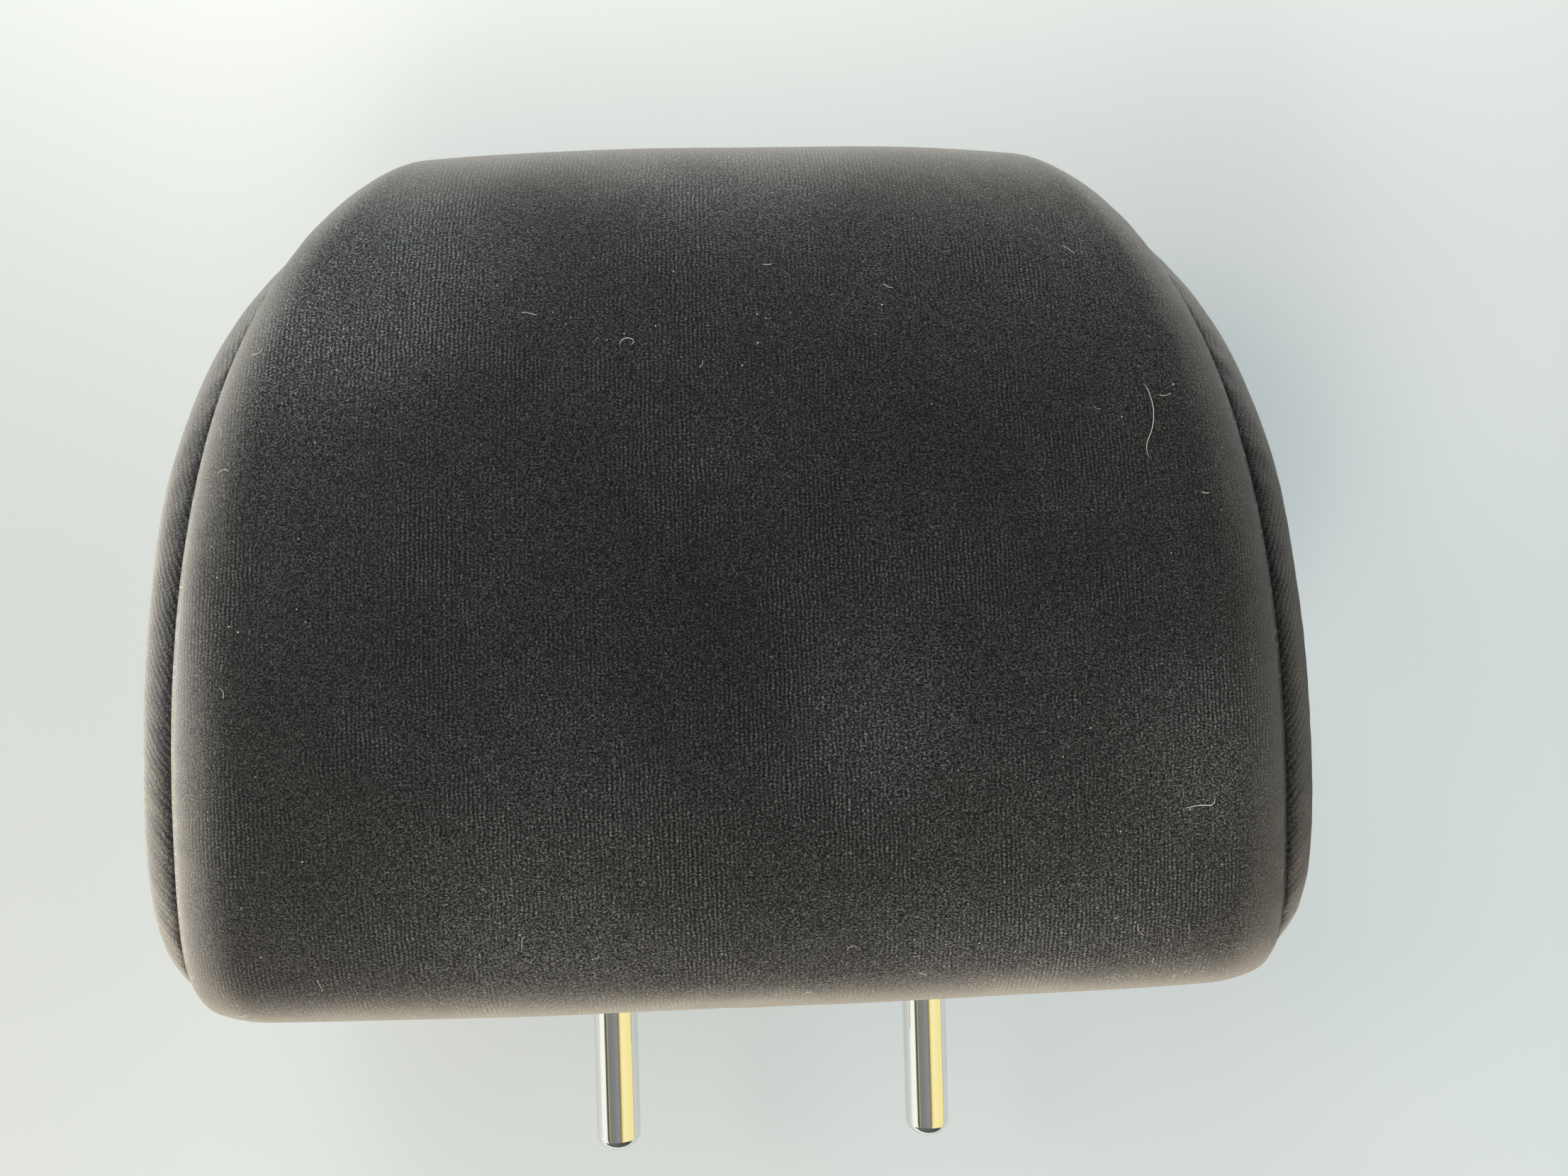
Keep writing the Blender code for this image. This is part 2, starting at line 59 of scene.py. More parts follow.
# Control points of the cushion's side outline: shares of its depth from the front and of
# its height from the underside.
SIDE_OUTLINE = [
    (0.98, 0.00), (0.80, 0.00), (0.50, 0.00), (0.18, 0.00),
    (0.016, 0.053), (-0.017, 0.22), (-0.01, 0.42), (0.04, 0.64),
    (0.12, 0.87), (0.34, 1.06), (0.62, 1.06), (0.86, 0.88),
    (0.96, 0.64), (1.04, 0.38), (1.06, 0.16), (1.04, 0.02),
]

# Cross-section of a sewn edge: distance from the seam and depth under the fabric's face,
# in millimetres. It climbs out of the seam and rolls over a small ridge.
PANEL_LIP = [(-0.35, 3.6), (-0.35, 2.9), (-0.12, 2.25), (0.03, 1.6), (0.14, 1.05), (0.36, 0.60),
             (0.70, 0.26), (1.15, 0.06), (1.7, -0.04), (2.4, -0.08), (3.3, -0.06), (4.4, -0.02),
             (5.8, 0.00)]
GUSSET_LIP = [(0.00, 2.9), (0.00, 2.1), (0.06, 1.4), (0.26, 0.82), (0.60, 0.42), (1.1, 0.14),
              (1.7, 0.02), (2.5, -0.05), (3.6, -0.04), (5.0, 0.00)]


# Kinds of settings


def plain(name, description, default, **more):
    """A plain number."""
    return FloatProperty(name=name, description=description, default=default, **more)


def metres(name, description, default, **more):
    """A length in metres."""
    return plain(name, description, default, unit="LENGTH", **more)


def watts(name, description, default):
    """A lamp's power."""
    return plain(name, description, default, unit="POWER", min=0.0)


def tint(name, description, default):
    """A colour."""
    return FloatVectorProperty(name=name, description=description, default=default,
                               subtype="COLOR", size=3, min=0.0, max=1.0)


def whole(name, description, default):
    """A whole number."""
    return IntProperty(name=name, description=description, default=default, min=0)


class CushionSizes(bpy.types.PropertyGroup):
    """Sizes of the cushion, as in the solids that it dresses."""

    height: metres("Height", "From the underside to the top", 213 * MM, min=0.05)
    front_reach: metres("Front reach", "From the posts to the front", 76.5 * MM, min=0.02)
    back_reach: metres("Back reach", "From the posts to the back", 43 * MM, min=0.02)
    offset: metres("Offset", "Cushion's middle to the right of the posts' middle", -6.7 * MM)
    seam_width: metres("Width between seams", "At the widest height", 253 * MM, min=0.05)
    top_seam_width: metres("Width between seams at the top", "At the crown", 181 * MM, min=0.05)
    widest_height: metres("Widest height", "Where the cushion starts to narrow", 45 * MM, min=0.0)
    shoulder_power: plain("Shoulder", "How square the shoulders are", 2.7, min=1.2)
    front_fall: metres("Fall at the front", "How far the face drops to its seams", 13.8 * MM, min=0.0)
    back_fall: metres("Fall at the back", "How far the back drops to its seams", 12 * MM, min=0.0)
    top_fall: metres("Fall at the top", "How far the crown drops to its seams", 10.3 * MM, min=0.0)
    under_fall: metres("Fall underneath", "How far the underside rises to its seams", 2 * MM, min=0.0)
    fall_power: plain("Crown", "How late the fall sets in", 3.0, min=1.0)
    roll_share: plain("Roll", "Part of the fall that rolls over near the seam",
                      0.62, min=0.0, max=1.0, subtype="FACTOR")
    roll_reach: metres("Roll reach", "How far from the seam the roll starts", 17 * MM, min=0.001)
    roll_power: plain("Roll curve", "How evenly the edge rolls over", 1.6, min=1.0)
    bulge: metres("Gusset bulge", "How far an end piece stands out from its seam", 12.6 * MM, min=0.0)
    bulge_power: plain("Gusset fullness", "How soon an end piece bulges", 8.5, min=1.0)
    eye_height: metres("Gusset middle", "Height of the end piece's middle", 74 * MM, min=0.0)
    valley: metres("Seam depth", "How deep the seam lies under the face", 2.6 * MM, min=0.0)
    valley_reach: metres("Seam reach", "How wide the seam pulls the face in", 7 * MM, min=0.001)
    ridge: metres("Ridge", "How far the panel's edge stands above the seam", 0.5 * MM, min=0.0)
    settle_share: plain("Settling", "How much of the cloth's unevenness the foam lets show",
                        0.35, min=0.0, max=1.0, subtype="FACTOR")
    slot_centre: metres("Closing slot", "From the posts back to the slot's middle", 19.5 * MM)
    slot_width: metres("Closing slot width", "Across the slot", 8 * MM, min=0.001)
    slot_length: metres("Closing slot length", "Along the slot", 160.6 * MM, min=0.01)
    post_spacing: metres("Post spacing", "Between the posts' axes", 86 * MM, min=0.02)
    post_hole: metres("Post hole radius", "Hole in the cover round a post", 7.9 * MM, min=0.001)


class RodSizes(bpy.types.PropertyGroup):
    """Sizes of the bent rod, from the solid that it dresses."""

    diameter: metres("Diameter", "Across the bar", ROD_HIGH[1] - ROD_LOW[1], min=0.002)
    low: metres("Post end", "Height of the posts' ends", ROD_LOW[2])
    high: metres("Top", "Height of the bar's highest point", ROD_HIGH[2])
    spread: metres("Spread", "Over both posts", ROD_HIGH[0] - ROD_LOW[0], min=0.02)
    bend: metres("Bend radius", "Of the bar's middle line", 24 * MM, min=0.005)
    tip: metres("Tip rounding", "Radius of the edge at a post's end", 4 * MM, min=0.0002)


class FabricLook(bpy.types.PropertyGroup):
    """Colours and scale of the velour knit, with the painted sheen of its pile at low angles."""

    pile: tint("Pile", "Colour of the tufts", (0.049, 0.051, 0.0515))
    ground: tint("Ground", "Colour between the tufts", (0.003, 0.003, 0.0035))
    # The bloom colour, with its weight, start and full, is a painted sheen: the pile's colour turns to
    # this pale taupe where its surface turns from the view.
    painted_sheen: tint("Bloom", "Colour of the fibres seen from the side", (0.292, 0.274, 0.243))
    bloom_weight: plain("Bloom weight", "How far the bloom covers the pile", 0.95, min=0.0, max=1.0)
    bloom_start: plain("Bloom start", "How far a surface turns before it blooms", 0.25, min=0.0, max=1.0)
    bloom_full: plain("Bloom full", "How far a surface turns until it blooms fully",
                      0.91, min=0.0, max=1.0)
    sheen: tint("Sheen", "Tint of the pile's gloss at a low angle", (0.92, 0.88, 0.82))
    sheen_weight: plain("Sheen weight", "Strength of the pile's gloss", 0.5, min=0.0, max=1.0)
    wale: metres("Wale", "Width of a column of loops", 0.98 * MM, min=0.0002)
    course: metres("Course", "Height of a row of loops", 0.82 * MM, min=0.0002)
    rib: metres("Rib", "Width of a rib where the end pieces stretch the knit", 1.5 * MM, min=0.0002)
    rib_shown: plain("Ribs", "How much the ribs show on the end pieces",
                     0.9, min=0.0, max=1.0, subtype="FACTOR")
    wales_low: plain("Wales at least", "How much the wales show where they show least",
                     0.1, min=0.0, max=1.0)
    wales_high: plain("Wales at most", "How much the wales show where they show most",
                      0.7, min=0.0, max=1.0)
    hairs: whole("Short hairs", "Short pale hairs caught on the pile", 45)
    specks: whole("Dust specks", "Pale specks on the pile", 190)


class StageLook(bpy.types.PropertyGroup):
    """The pale surface, the lamps and the camera."""

    surface: tint("Surface", "Colour of the floor and the backdrop", (0.46, 0.485, 0.485))
    glow: plain("Glow", "Light that the surface itself gives the picture",
                0.13, min=0.0, subtype="FACTOR")
    left: watts("Left", "Power of the warm lamp on the left", 5.7)
    top: watts("Top", "Power of the lamp on the upper left", 5.2)
    right: watts("Right", "Power of the cool lamp on the right", 1.5)
    back: watts("Back", "Power of the lamp behind", 4.0)
    under: watts("Under", "Power of the warm lamp below", 52.0)
    sky_left: plain("Sky on the left", "Brightness of the even light there", 0.21, min=0.0)
    sky_right: plain("Sky on the right", "Brightness of the even light there", 0.04, min=0.0)
    lens: plain("Lens", "Focal length on a 36 mm sensor", 27.05, min=5.0)


# The form of the cushion


# How late an end piece's width lets go of its seam's width, as a power.
HOLD_POWER = 8


def spline(points, place):
    """Uniform closed cubic B-spline of the control points at a place counted in points."""
    control = np.asarray(points, float)
    first = np.floor(place).astype(int)
    f = (place - first)[:, None]
    a, b, c, d = (control[(first + k) % len(control)] for k in (-1, 0, 1, 2))
    return ((1 - f) ** 3 * a + (3 * f**3 - 6 * f**2 + 4) * b
            + (-3 * f**3 + 3 * f**2 + 3 * f + 1) * c + f**3 * d) / 6


def outline(sizes, rows):
    """The side outline at equal steps of its length: y, z and the length so far.

    The spline is stretched to the cushion's depth and height, its length is added up over
    fine chords, and the places of the equal steps are read off that sum."""
    place = np.linspace(0, len(SIDE_OUTLINE), 3841)
    fine = spline(SIDE_OUTLINE, place)
    low, high = fine.min(0), fine.max(0)
    fine = (fine - low) / (high - low)
    depth = sizes.front_reach + sizes.back_reach
    y, z = -sizes.front_reach + fine[:, 0] * depth, fine[:, 1] * sizes.height
    length = np.concatenate([[0], np.cumsum(np.hypot(np.diff(y), np.diff(z)))])
    steps = np.linspace(0, length[-1], rows + 1)
    return np.interp(steps[:-1], length, y), np.interp(steps[:-1], length, z), steps


def seam_half(sizes, z):
    """Half the panel's width at a height: constant low down, then a superellipse."""
    rise = np.clip((z - sizes.widest_height) / (sizes.height - sizes.widest_height), 0, 1)
    power = sizes.shoulder_power
    narrowing = (sizes.top_seam_width / sizes.seam_width) ** power
    return sizes.seam_width / 2 * (1 - (1 - narrowing) * rise**power) ** (1 / power)


def inset(sizes, y, z, front, back, top, under):
    """Move of an outline point when the outline's four sides each move in by an amount."""
    share_y = (y + sizes.front_reach) / (sizes.front_reach + sizes.back_reach)
    share_z = z / sizes.height
    return front * (1 - share_y) - back * share_y, under * (1 - share_z) - top * share_z


def falls(sizes):
    """How far the front, back, top and underside fall to their seams."""
    return np.array([sizes.front_fall, sizes.back_fall, sizes.top_fall, sizes.under_fall])


def panel_base(sizes, rows, shares):
    """The centre panel's face: each outline point carried across the width, where it falls
    away towards the seams. Part of the fall is a power of the share of the half width, and
    the rest rolls over near the seam, as a power of the distance from it. A dip is added
    over the last few millimetres. Shares run from -1 at the left seam to 1 at the right
    seam, and may be a row of them or a grid."""
    y, z, _ = outline(sizes, rows)
    y, z = y[:, None], z[:, None]
    shares = np.broadcast_to(shares, (rows, np.shape(shares)[-1]))
    fall_y, fall_z = inset(sizes, y, z, *falls(sizes))
    dip_y, dip_z = inset(sizes, y, z, 1, 1, 1, 1)
    half = seam_half(sizes, z)
    away = half * (1 - np.abs(shares))
    rolled = np.clip(1 - away / sizes.roll_reach, 0, None) ** sizes.roll_power
    fallen = (1 - sizes.roll_share) * np.abs(shares) ** sizes.fall_power + sizes.roll_share * rolled
    dip = np.clip(1 - away / sizes.valley_reach, 0, 1) ** 2
    dip = dip * (sizes.valley - sizes.ridge)
    return np.stack([half * shares, y + fall_y * fallen + dip_y * dip,
                     z + fall_z * fallen + dip_z * dip], axis=-1)


def gusset_base(sizes, rows, gone):
    """The right end piece's face: the seam's loop drawn in towards one middle point. The
    share gone runs from 0 at the seam to 1 at the middle. Its width is the panel's width at
    that height plus a bulge that grows fast from the seam and then levels out."""
    y, z, _ = outline(sizes, rows)
    fall_y, fall_z = inset(sizes, y, z, *(falls(sizes) + sizes.valley))
    half = seam_half(sizes, z)[:, None]
    seam = np.stack([y + fall_y, z + fall_z], axis=-1)
    middle = np.array([(sizes.back_reach - sizes.front_reach) / 2, sizes.eye_height])
    gone = np.broadcast_to(gone, (rows, np.shape(gone)[-1]))
    left = 1 - gone
    side = middle + left[..., None] * (seam[:, None] - middle)
    hold = left**HOLD_POWER
    x = seam_half(sizes, side[..., 1]) * (1 - hold) + half * hold
    x = x + sizes.bulge * (1 - left**sizes.bulge_power)
    away = gone * np.linalg.norm(seam - middle, axis=1)[:, None]
    x = x - sizes.valley * np.clip(1 - away / sizes.valley_reach, 0, 1) ** 2 * (1 - hold)
    return np.concatenate([x[..., None], side], axis=-1)


def inward(points, pole=None):
    """Unit normals of a grid whose rows close on themselves, pointing into the cushion: the
    cross product of the way along the rows and the way across the columns."""
    along = np.roll(points, -1, axis=0) - np.roll(points, 1, axis=0)
    across = np.gradient(points, axis=1)
    normal = np.cross(along, across)
    normal /= np.maximum(np.linalg.norm(normal, axis=-1, keepdims=True), 1e-12)
    if pole is not None:
        normal[:, pole] = normal[:, pole + (1 if pole == 0 else -1)].mean(0)
        normal[:, pole] /= np.linalg.norm(normal[0, pole])
    return normal


def waves(u, v, seed, lengths):
    """A smooth uneven field about 1 high: a sum of sine waves whose directions and phases
    come from the seed. Lengths are the waves' lengths, in the unit of u and v."""
    rng = np.random.default_rng(seed)
    total = 0
    for length in lengths:
        turn, phase = rng.uniform(0, math.pi), rng.uniform(0, 2 * math.pi)
        total = total + np.sin((u * math.cos(turn) + v * math.sin(turn)) * 2 * math.pi / length + phase)
    return total / len(lengths)


def resample(field, rows, places):
    """Reads a coarse grid at finer rows, which close on themselves, and at places counted in
    its columns, with a Catmull-Rom cubic both ways."""
    def along(values, at, wrap):
        first = np.floor(at).astype(int)
        f = (at - first)[:, None, None]
        index = [first + k for k in (-1, 0, 1, 2)]
        count = len(values)
        a, b, c, d = (values[i % count if wrap else np.clip(i, 0, count - 1)] for i in index)
        return 0.5 * (2 * b + (c - a) * f + (2 * a - 5 * b + 4 * c - d) * f**2
                      + (3 * b - a - 3 * c + d) * f**3)
    tall = along(field, np.arange(rows) * len(field) / rows, True)
    return along(tall.transpose(1, 0, 2), places, False).transpose(1, 0, 2)


# The cloth


CLOTH_ROWS = 120
CLOTH_PANEL = np.concatenate([-1 + np.linspace(0, 1, 23)[:-1] ** 1.15, [0.0],
                              1 - np.linspace(0, 1, 23)[:-1][::-1] ** 1.15])
CLOTH_GUSSET = np.linspace(0, 1, 13) ** 1.2
# How far inside the cushion the cloth starts, how far one of its points may move, and how
# many frames it settles for.
CLOTH_EASE = 1.2 * MM
CLOTH_REACH = 1.8 * MM
CLOTH_FRAMES = 20


def cloth_grid(sizes):
    """The whole cushion as one grid: left end piece, panel and right end piece, with a pole
    at each end. The panel's edges are pulled in to the seam, as the end pieces are."""
    panel = panel_base(sizes, CLOTH_ROWS, CLOTH_PANEL)
    right = gusset_base(sizes, CLOTH_ROWS, CLOTH_GUSSET)
    seam = right[:, 0]
    panel[:, -1] = seam
    panel[:, 0] = seam * (-1, 1, 1)
    left = right[:, ::-1] * (-1, 1, 1)
    return np.concatenate([left[:, :-1], panel, right[:, 1:]], axis=1)


def inflate(sizes, context):
    """Lets the cover settle as cloth over the foam and returns how far each point of the
    cloth's grid stands out. The cloth starts a little inside the cushion, its seams are
    pinned and pressure blows it out. Each point's move less the middle one is capped, and a
    share of it is kept, because the foam behind a real cover holds its form."""
    grid = cloth_grid(sizes)
    normal = inward(grid)
    normal[:, 0], normal[:, -1] = (1, 0, 0), (-1, 0, 0)
    seams = (len(CLOTH_GUSSET) - 1, len(CLOTH_GUSSET) - 2 + len(CLOTH_PANEL))
    ease = np.full(grid.shape[1], CLOTH_EASE)
    ease[list(seams)] = 0
    start = grid + normal * ease[:, None]
    mesh, index = skin_mesh("cloth", start)
    cloth = new_object(context, "cloth", mesh)
    pins = cloth.vertex_groups.new(name="seams")
    pins.add(index[:, list(seams)].ravel().tolist(), 1.0, "REPLACE")
    near = [s + k for s in seams for k in (-1, 1)]
    pins.add(index[:, near].ravel().tolist(), 0.25, "REPLACE")
    settings = cloth.modifiers.new("cloth", "CLOTH").settings
    settings.quality = 6
    settings.mass = 0.25
    settings.tension_stiffness = settings.compression_stiffness = 18
    settings.shear_stiffness = 8
    settings.bending_stiffness = 2.5
    settings.use_pressure = True
    settings.uniform_pressure_force = 4
    settings.vertex_group_mass = "seams"
    settings.effector_weights.gravity = 0
    for number in range(CLOTH_FRAMES):
        context.scene.frame_set(number + 1)
    settled = cloth.evaluated_get(context.evaluated_depsgraph_get()).data
    flat = np.empty(len(settled.vertices) * 3, np.float32)
    settled.vertices.foreach_get("co", flat)
    moved = flat.reshape(-1, 3).astype(float)[index] - grid
    bpy.data.objects.remove(cloth)
    context.scene.frame_set(1)
    out = -(moved * normal).sum(-1)
    out = np.clip(out - np.median(out), -CLOTH_REACH, CLOTH_REACH) * sizes.settle_share
    out[:, list(seams)] = 0
    return out


# Meshes and objects


def new_mesh(name, verts, faces):
    """A mesh of vertices and faces."""
    mesh = bpy.data.meshes.new(name)
    mesh.from_pydata(verts, [], faces)
    mesh.update()
    return mesh


def new_object(context, name, data):
    """An object linked to the scene."""
    obj = bpy.data.objects.new(name, data)
    context.scene.collection.objects.link(obj)
    return obj


def ring_faces(rows, columns, closed):
    """Rows and columns of the corners of a grid's quads, each from a row to the next. The
    last row runs on to a next one, and in a closed grid the last column does too."""
    r, c = np.indices((rows, columns if closed else columns - 1)).reshape(2, -1)
    return np.stack([r, r + 1, r + 1, r], axis=1), np.stack([c, c, c + 1, c + 1], axis=1)


def pole_grid(points):
    """The vertices of a grid whose first and last column are each one point, and the vertex
    number of each grid point."""
    rows, columns = points.shape[:2]
    index = np.arange(rows * (columns - 2)).reshape(rows, columns - 2)
    first, last = np.full((rows, 1), index.size), np.full((rows, 1), index.size + 1)
    verts = np.concatenate([points[:, 1:-1].reshape(-1, 3), points[:1, 0], points[:1, -1]])
    return verts, np.concatenate([first, index, last], axis=1)


def skin_mesh(name, points):
    """A closed mesh through a grid whose first and last column are each one point. Returns
    it and the vertex number of each grid point."""
    rows, columns = points.shape[:2]
    verts, index = pole_grid(points)
    r, c = ring_faces(rows, columns, False)
    faces = index[r % rows, c][:, ::-1]
    ends = (c[:, 0] == 0) | (c[:, 0] == columns - 2)
    first = faces[c[:, 0] == 0][:, (0, 1, 2)]
    last = faces[c[:, 0] == columns - 2][:, (1, 2, 3)]
    faces = faces[~ends].tolist() + first.tolist() + last.tolist()
    return new_mesh(name, verts, faces), index


def cover_mesh(name, points, flat, poles):
    """A closed mesh through a grid of points with its flat pattern as a UV map, in metres.

    The rows close on themselves. Without poles the columns do too, and with poles the first
    and last column are each one point. The flat pattern has one row more than the grid, so
    that it doesn't jump where the rows meet."""
    rows, columns = points.shape[:2]
    r, c = ring_faces(rows, columns, not poles)
    if poles:
        verts, index = pole_grid(points)
    else:
        index = np.arange(rows * columns).reshape(rows, columns)
        verts = points.reshape(-1, 3)
    corner = index[r % rows, c % columns]
    place = flat[r, c % columns]
    keep = np.ones(corner.shape, bool)
    if poles:
        keep[c[:, 0] == 0, 0] = False
        keep[c[:, 0] == columns - 2, 3] = False
    counts = keep.sum(1)
    mesh = bpy.data.meshes.new(name)
    mesh.vertices.add(len(verts))
    mesh.vertices.foreach_set("co", verts.astype(np.float32).ravel())
    mesh.loops.add(int(counts.sum()))
    mesh.loops.foreach_set("vertex_index", corner[keep].astype(np.int32))
    mesh.polygons.add(len(counts))
    mesh.polygons.foreach_set("loop_start", (np.cumsum(counts) - counts).astype(np.int32))
    mesh.update(calc_edges=True)
    mesh.uv_layers.new(name="cut").data.foreach_set("uv", place[keep].astype(np.float32).ravel())
    mesh.validate()
    mesh.shade_smooth()
    return mesh


def add_piece(context, name, mesh, material):
    """Links a finished piece, gives it its material and lets it ride on the frame."""
    obj = new_object(context, name, mesh)
    mesh.materials.append(material)
    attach(obj, "root")
    return obj


# The cover's pieces


COVER_ROWS = 400
PANEL_SPACING = 2.1 * MM
COVER_THICKNESS = 3.3 * MM
LIP_SETBACK = 0.35 * MM

# How far from a seam the cloth's swell and the fabric's unevenness reach their full height, and
# the wave lengths of the gathers along a seam.
SWELL_REACH = 6 * MM
ROUGH_REACH = 10 * MM
GATHER_LENGTHS = (7 * MM, 9.5 * MM, 12 * MM)
# Height of the gathers and how far they fade from the seam, then height of the unevenness, on
# the panel and on an end piece.
PANEL_GATHER, PANEL_FADE, PANEL_ROUGH = 0.16 * MM, 5 * MM, 0.22 * MM
GUSSET_GATHER, GUSSET_FADE, GUSSET_ROUGH = 0.25 * MM, 7 * MM, 0.2 * MM
# The inner faces' first columns, from the seam, and the depth of the panel's inner edge.
PANEL_INNER = np.array([1.2, 3.6]) * MM
GUSSET_INNER = np.array([1.2, 4.0]) * MM
INNER_EDGE_DEPTH = 3.8 * MM
# How near to its seam a piece keeps even columns, before they spread to its middle.
PANEL_EVEN = 12 * MM
GUSSET_EVEN = 6 * MM


def lip_columns(lip, reach):
    """A sewn edge's columns as arrays: distance from the seam and depth, in metres, then
    plain columns up to the reach, each a little further apart."""
    distance, depth = np.array(lip).T * MM
    more = []
    at, step = distance[-1], 1.5 * MM
    while at + step < reach:
        at += step
        step = min(step * 1.15, PANEL_SPACING)
        more.append(at)
    return np.concatenate([distance, more]), np.concatenate([depth, np.zeros(len(more))])


def settling(moved, places, away, rough):
    """How far a face sinks where the cloth settled and the fabric is uneven: the roughness
    less the cloth's move. Each grows from nothing at the seam to all of it at its reach."""
    swell = resample(moved[..., None], COVER_ROWS, places)[..., 0]
    return rough * np.clip(away / ROUGH_REACH, 0, 1) - swell * np.clip(away / SWELL_REACH, 0, 1)


def panel_grid(sizes, moved):
    """The centre panel of the cover: the outer face with both sewn edges, the cloth's
    settled unevenness and faint gathers along the seams, then the inner face back."""
    _, z, steps = outline(sizes, COVER_ROWS)
    half = seam_half(sizes, z)[:, None]
    reach = sizes.top_seam_width / 2
    distance, depth = lip_columns(PANEL_LIP, reach)
    distance = distance + LIP_SETBACK
    spread = np.clip((distance - PANEL_EVEN) / (reach - PANEL_EVEN), 0, 1)
    right = 1 - (distance + (half - reach) * spread) / half
    shares = np.concatenate([-right, np.zeros_like(half), right[:, ::-1]], axis=1)
    depth = np.concatenate([depth, [0], depth[::-1]])
    base = panel_base(sizes, COVER_ROWS, shares)
    normal = inward(base)
    seams = len(CLOTH_GUSSET) - 1
    places = np.interp(np.clip(shares.mean(0), -1, 1), CLOTH_PANEL, np.arange(len(CLOTH_PANEL)) + seams)
    away = (1 - np.abs(shares)) * half
    run = steps[:-1, None]
    gather = waves(run + 0 * away, away, 3, GATHER_LENGTHS)
    gather = PANEL_GATHER * gather * np.exp(-np.clip(away, 0, None) / PANEL_FADE)
    rough = waves(base[..., 0], run, 8, (34 * MM, 47 * MM, 61 * MM, 90 * MM))
    drop = depth + gather + settling(moved, places, away, PANEL_ROUGH * rough)
    drop = drop + near_openings(sizes, base) * (base[..., 2] < 10 * MM)
    outer = base + normal * drop[..., None]
    edge = 1 - PANEL_INNER / half
    middle = np.linspace(-1, 1, 18)[1:-1] * (edge[:, 1:] - 0.03)
    inner_shares = np.concatenate([-edge, middle, edge[:, ::-1]], axis=1)
    inner_base = panel_base(sizes, COVER_ROWS, inner_shares)
    inner_depth = np.full(inner_shares.shape[1], COVER_THICKNESS)
    inner_depth[[0, -1]] = INNER_EDGE_DEPTH
    inner = inner_base + inward(inner_base) * inner_depth[:, None]
    points = np.concatenate([outer, inner[:, ::-1]], axis=1)
    across = np.concatenate([shares * half, (inner_shares * half)[:, ::-1]], axis=1)
    across = np.concatenate([across, across[:1]])
    flat = np.stack([across, np.broadcast_to(steps[:, None], across.shape)], axis=-1)
    return (points + (sizes.offset, 0, 0))[:, ::-1], flat[:, ::-1]


# Depth and reach of the dent beside the closing slot and round a post hole.
SLOT_DENT, SLOT_DENT_REACH = 1.3 * MM, 2.2 * MM
HOLE_DENT, HOLE_DENT_REACH = 0.5 * MM, 3 * MM


def near_openings(sizes, base):
    """How far the underside is pulled in beside the closing slot and the post holes: a
    rounded edge whose depth fades over a few millimetres from the opening."""
    x, y = base[..., 0] + sizes.offset, base[..., 1]
    to_slot = np.hypot(np.clip(np.abs(x - sizes.offset) - sizes.slot_length / 2, 0, None),
                       np.clip(np.abs(y - sizes.slot_centre) - sizes.slot_width / 2, 0, None))
    dent = SLOT_DENT * np.exp(-((to_slot / SLOT_DENT_REACH) ** 2))
    for side in (-1, 1):
        to_post = np.hypot(x - side * sizes.post_spacing / 2, y) - sizes.post_hole
        dent = dent + HOLE_DENT * np.exp(-((np.clip(to_post, 0, None) / HOLE_DENT_REACH) ** 2))
    return dent


def gusset_points(sizes, moved):
    """The right end piece of the cover: the outer face from its middle to the sewn edge,
    then the inner face back to the middle."""
    steps = outline(sizes, COVER_ROWS)[2]
    probe = gusset_base(sizes, COVER_ROWS, np.array([0.0, 1.0]))
    reach = np.linalg.norm((probe[:, 0] - probe[:, 1])[:, 1:], axis=1)[:, None]
    distance, depth = lip_columns(GUSSET_LIP, reach.min() * 0.95)
    spread = np.clip((distance - GUSSET_EVEN) / (distance[-1] - GUSSET_EVEN), 0, 1)
    gone = (distance + (reach * 0.97 - distance[-1]) * spread) / reach
    gone = np.concatenate([gone, np.ones((COVER_ROWS, 1))], axis=1)
    depth = np.append(depth, 0)
    base = gusset_base(sizes, COVER_ROWS, gone)
    normal = inward(base, pole=base.shape[1] - 1)
    places = np.interp(gone.mean(0), CLOTH_GUSSET, np.arange(len(CLOTH_GUSSET)))
    away = gone * reach
    run = steps[:-1, None]
    gather = waves(run + 0 * away, away, 5, GATHER_LENGTHS)
    gather = GUSSET_GATHER * gather * np.exp(-away / GUSSET_FADE)
    rough = waves(base[..., 1], base[..., 2], 12, (31 * MM, 44 * MM, 60 * MM))
    drop = depth + gather + settling(moved, places, away, GUSSET_ROUGH * rough)
    drop[:, -1] = drop[:, -1].mean()
    outer = base + normal * drop[..., None]
    inner_gone = np.concatenate([GUSSET_INNER / reach,
                                 np.linspace(0.12, 1, 10) * np.ones_like(reach)], axis=1)
    inner_base = gusset_base(sizes, COVER_ROWS, inner_gone)
    inner = inner_base + inward(inner_base, pole=inner_base.shape[1] - 1) * COVER_THICKNESS
    points = np.concatenate([outer[:, ::-1], inner], axis=1)
    return points, gusset_pattern(points, outer.shape[1])


def gusset_pattern(points, columns):
    """Flat pattern of an end piece: each row runs straight out from the middle, in its own
    direction, and its distances are its true length over the face. The inner face lies
    under the outer one."""
    outer = points[:, :columns]
    run = np.concatenate([np.zeros((len(points), 1)),
                          np.cumsum(np.linalg.norm(np.diff(outer, axis=1), axis=-1), axis=1)], axis=1)
    heading = outer[:, -1, 1:] - outer[0, 0, 1:]
    heading /= np.linalg.norm(heading, axis=-1, keepdims=True)
    under = np.linspace(1, 0, points.shape[1] - columns) * run[:, -1:]
    flat = np.concatenate([run, under], axis=1)[..., None] * heading[:, None]
    return np.concatenate([flat, flat[:1]])


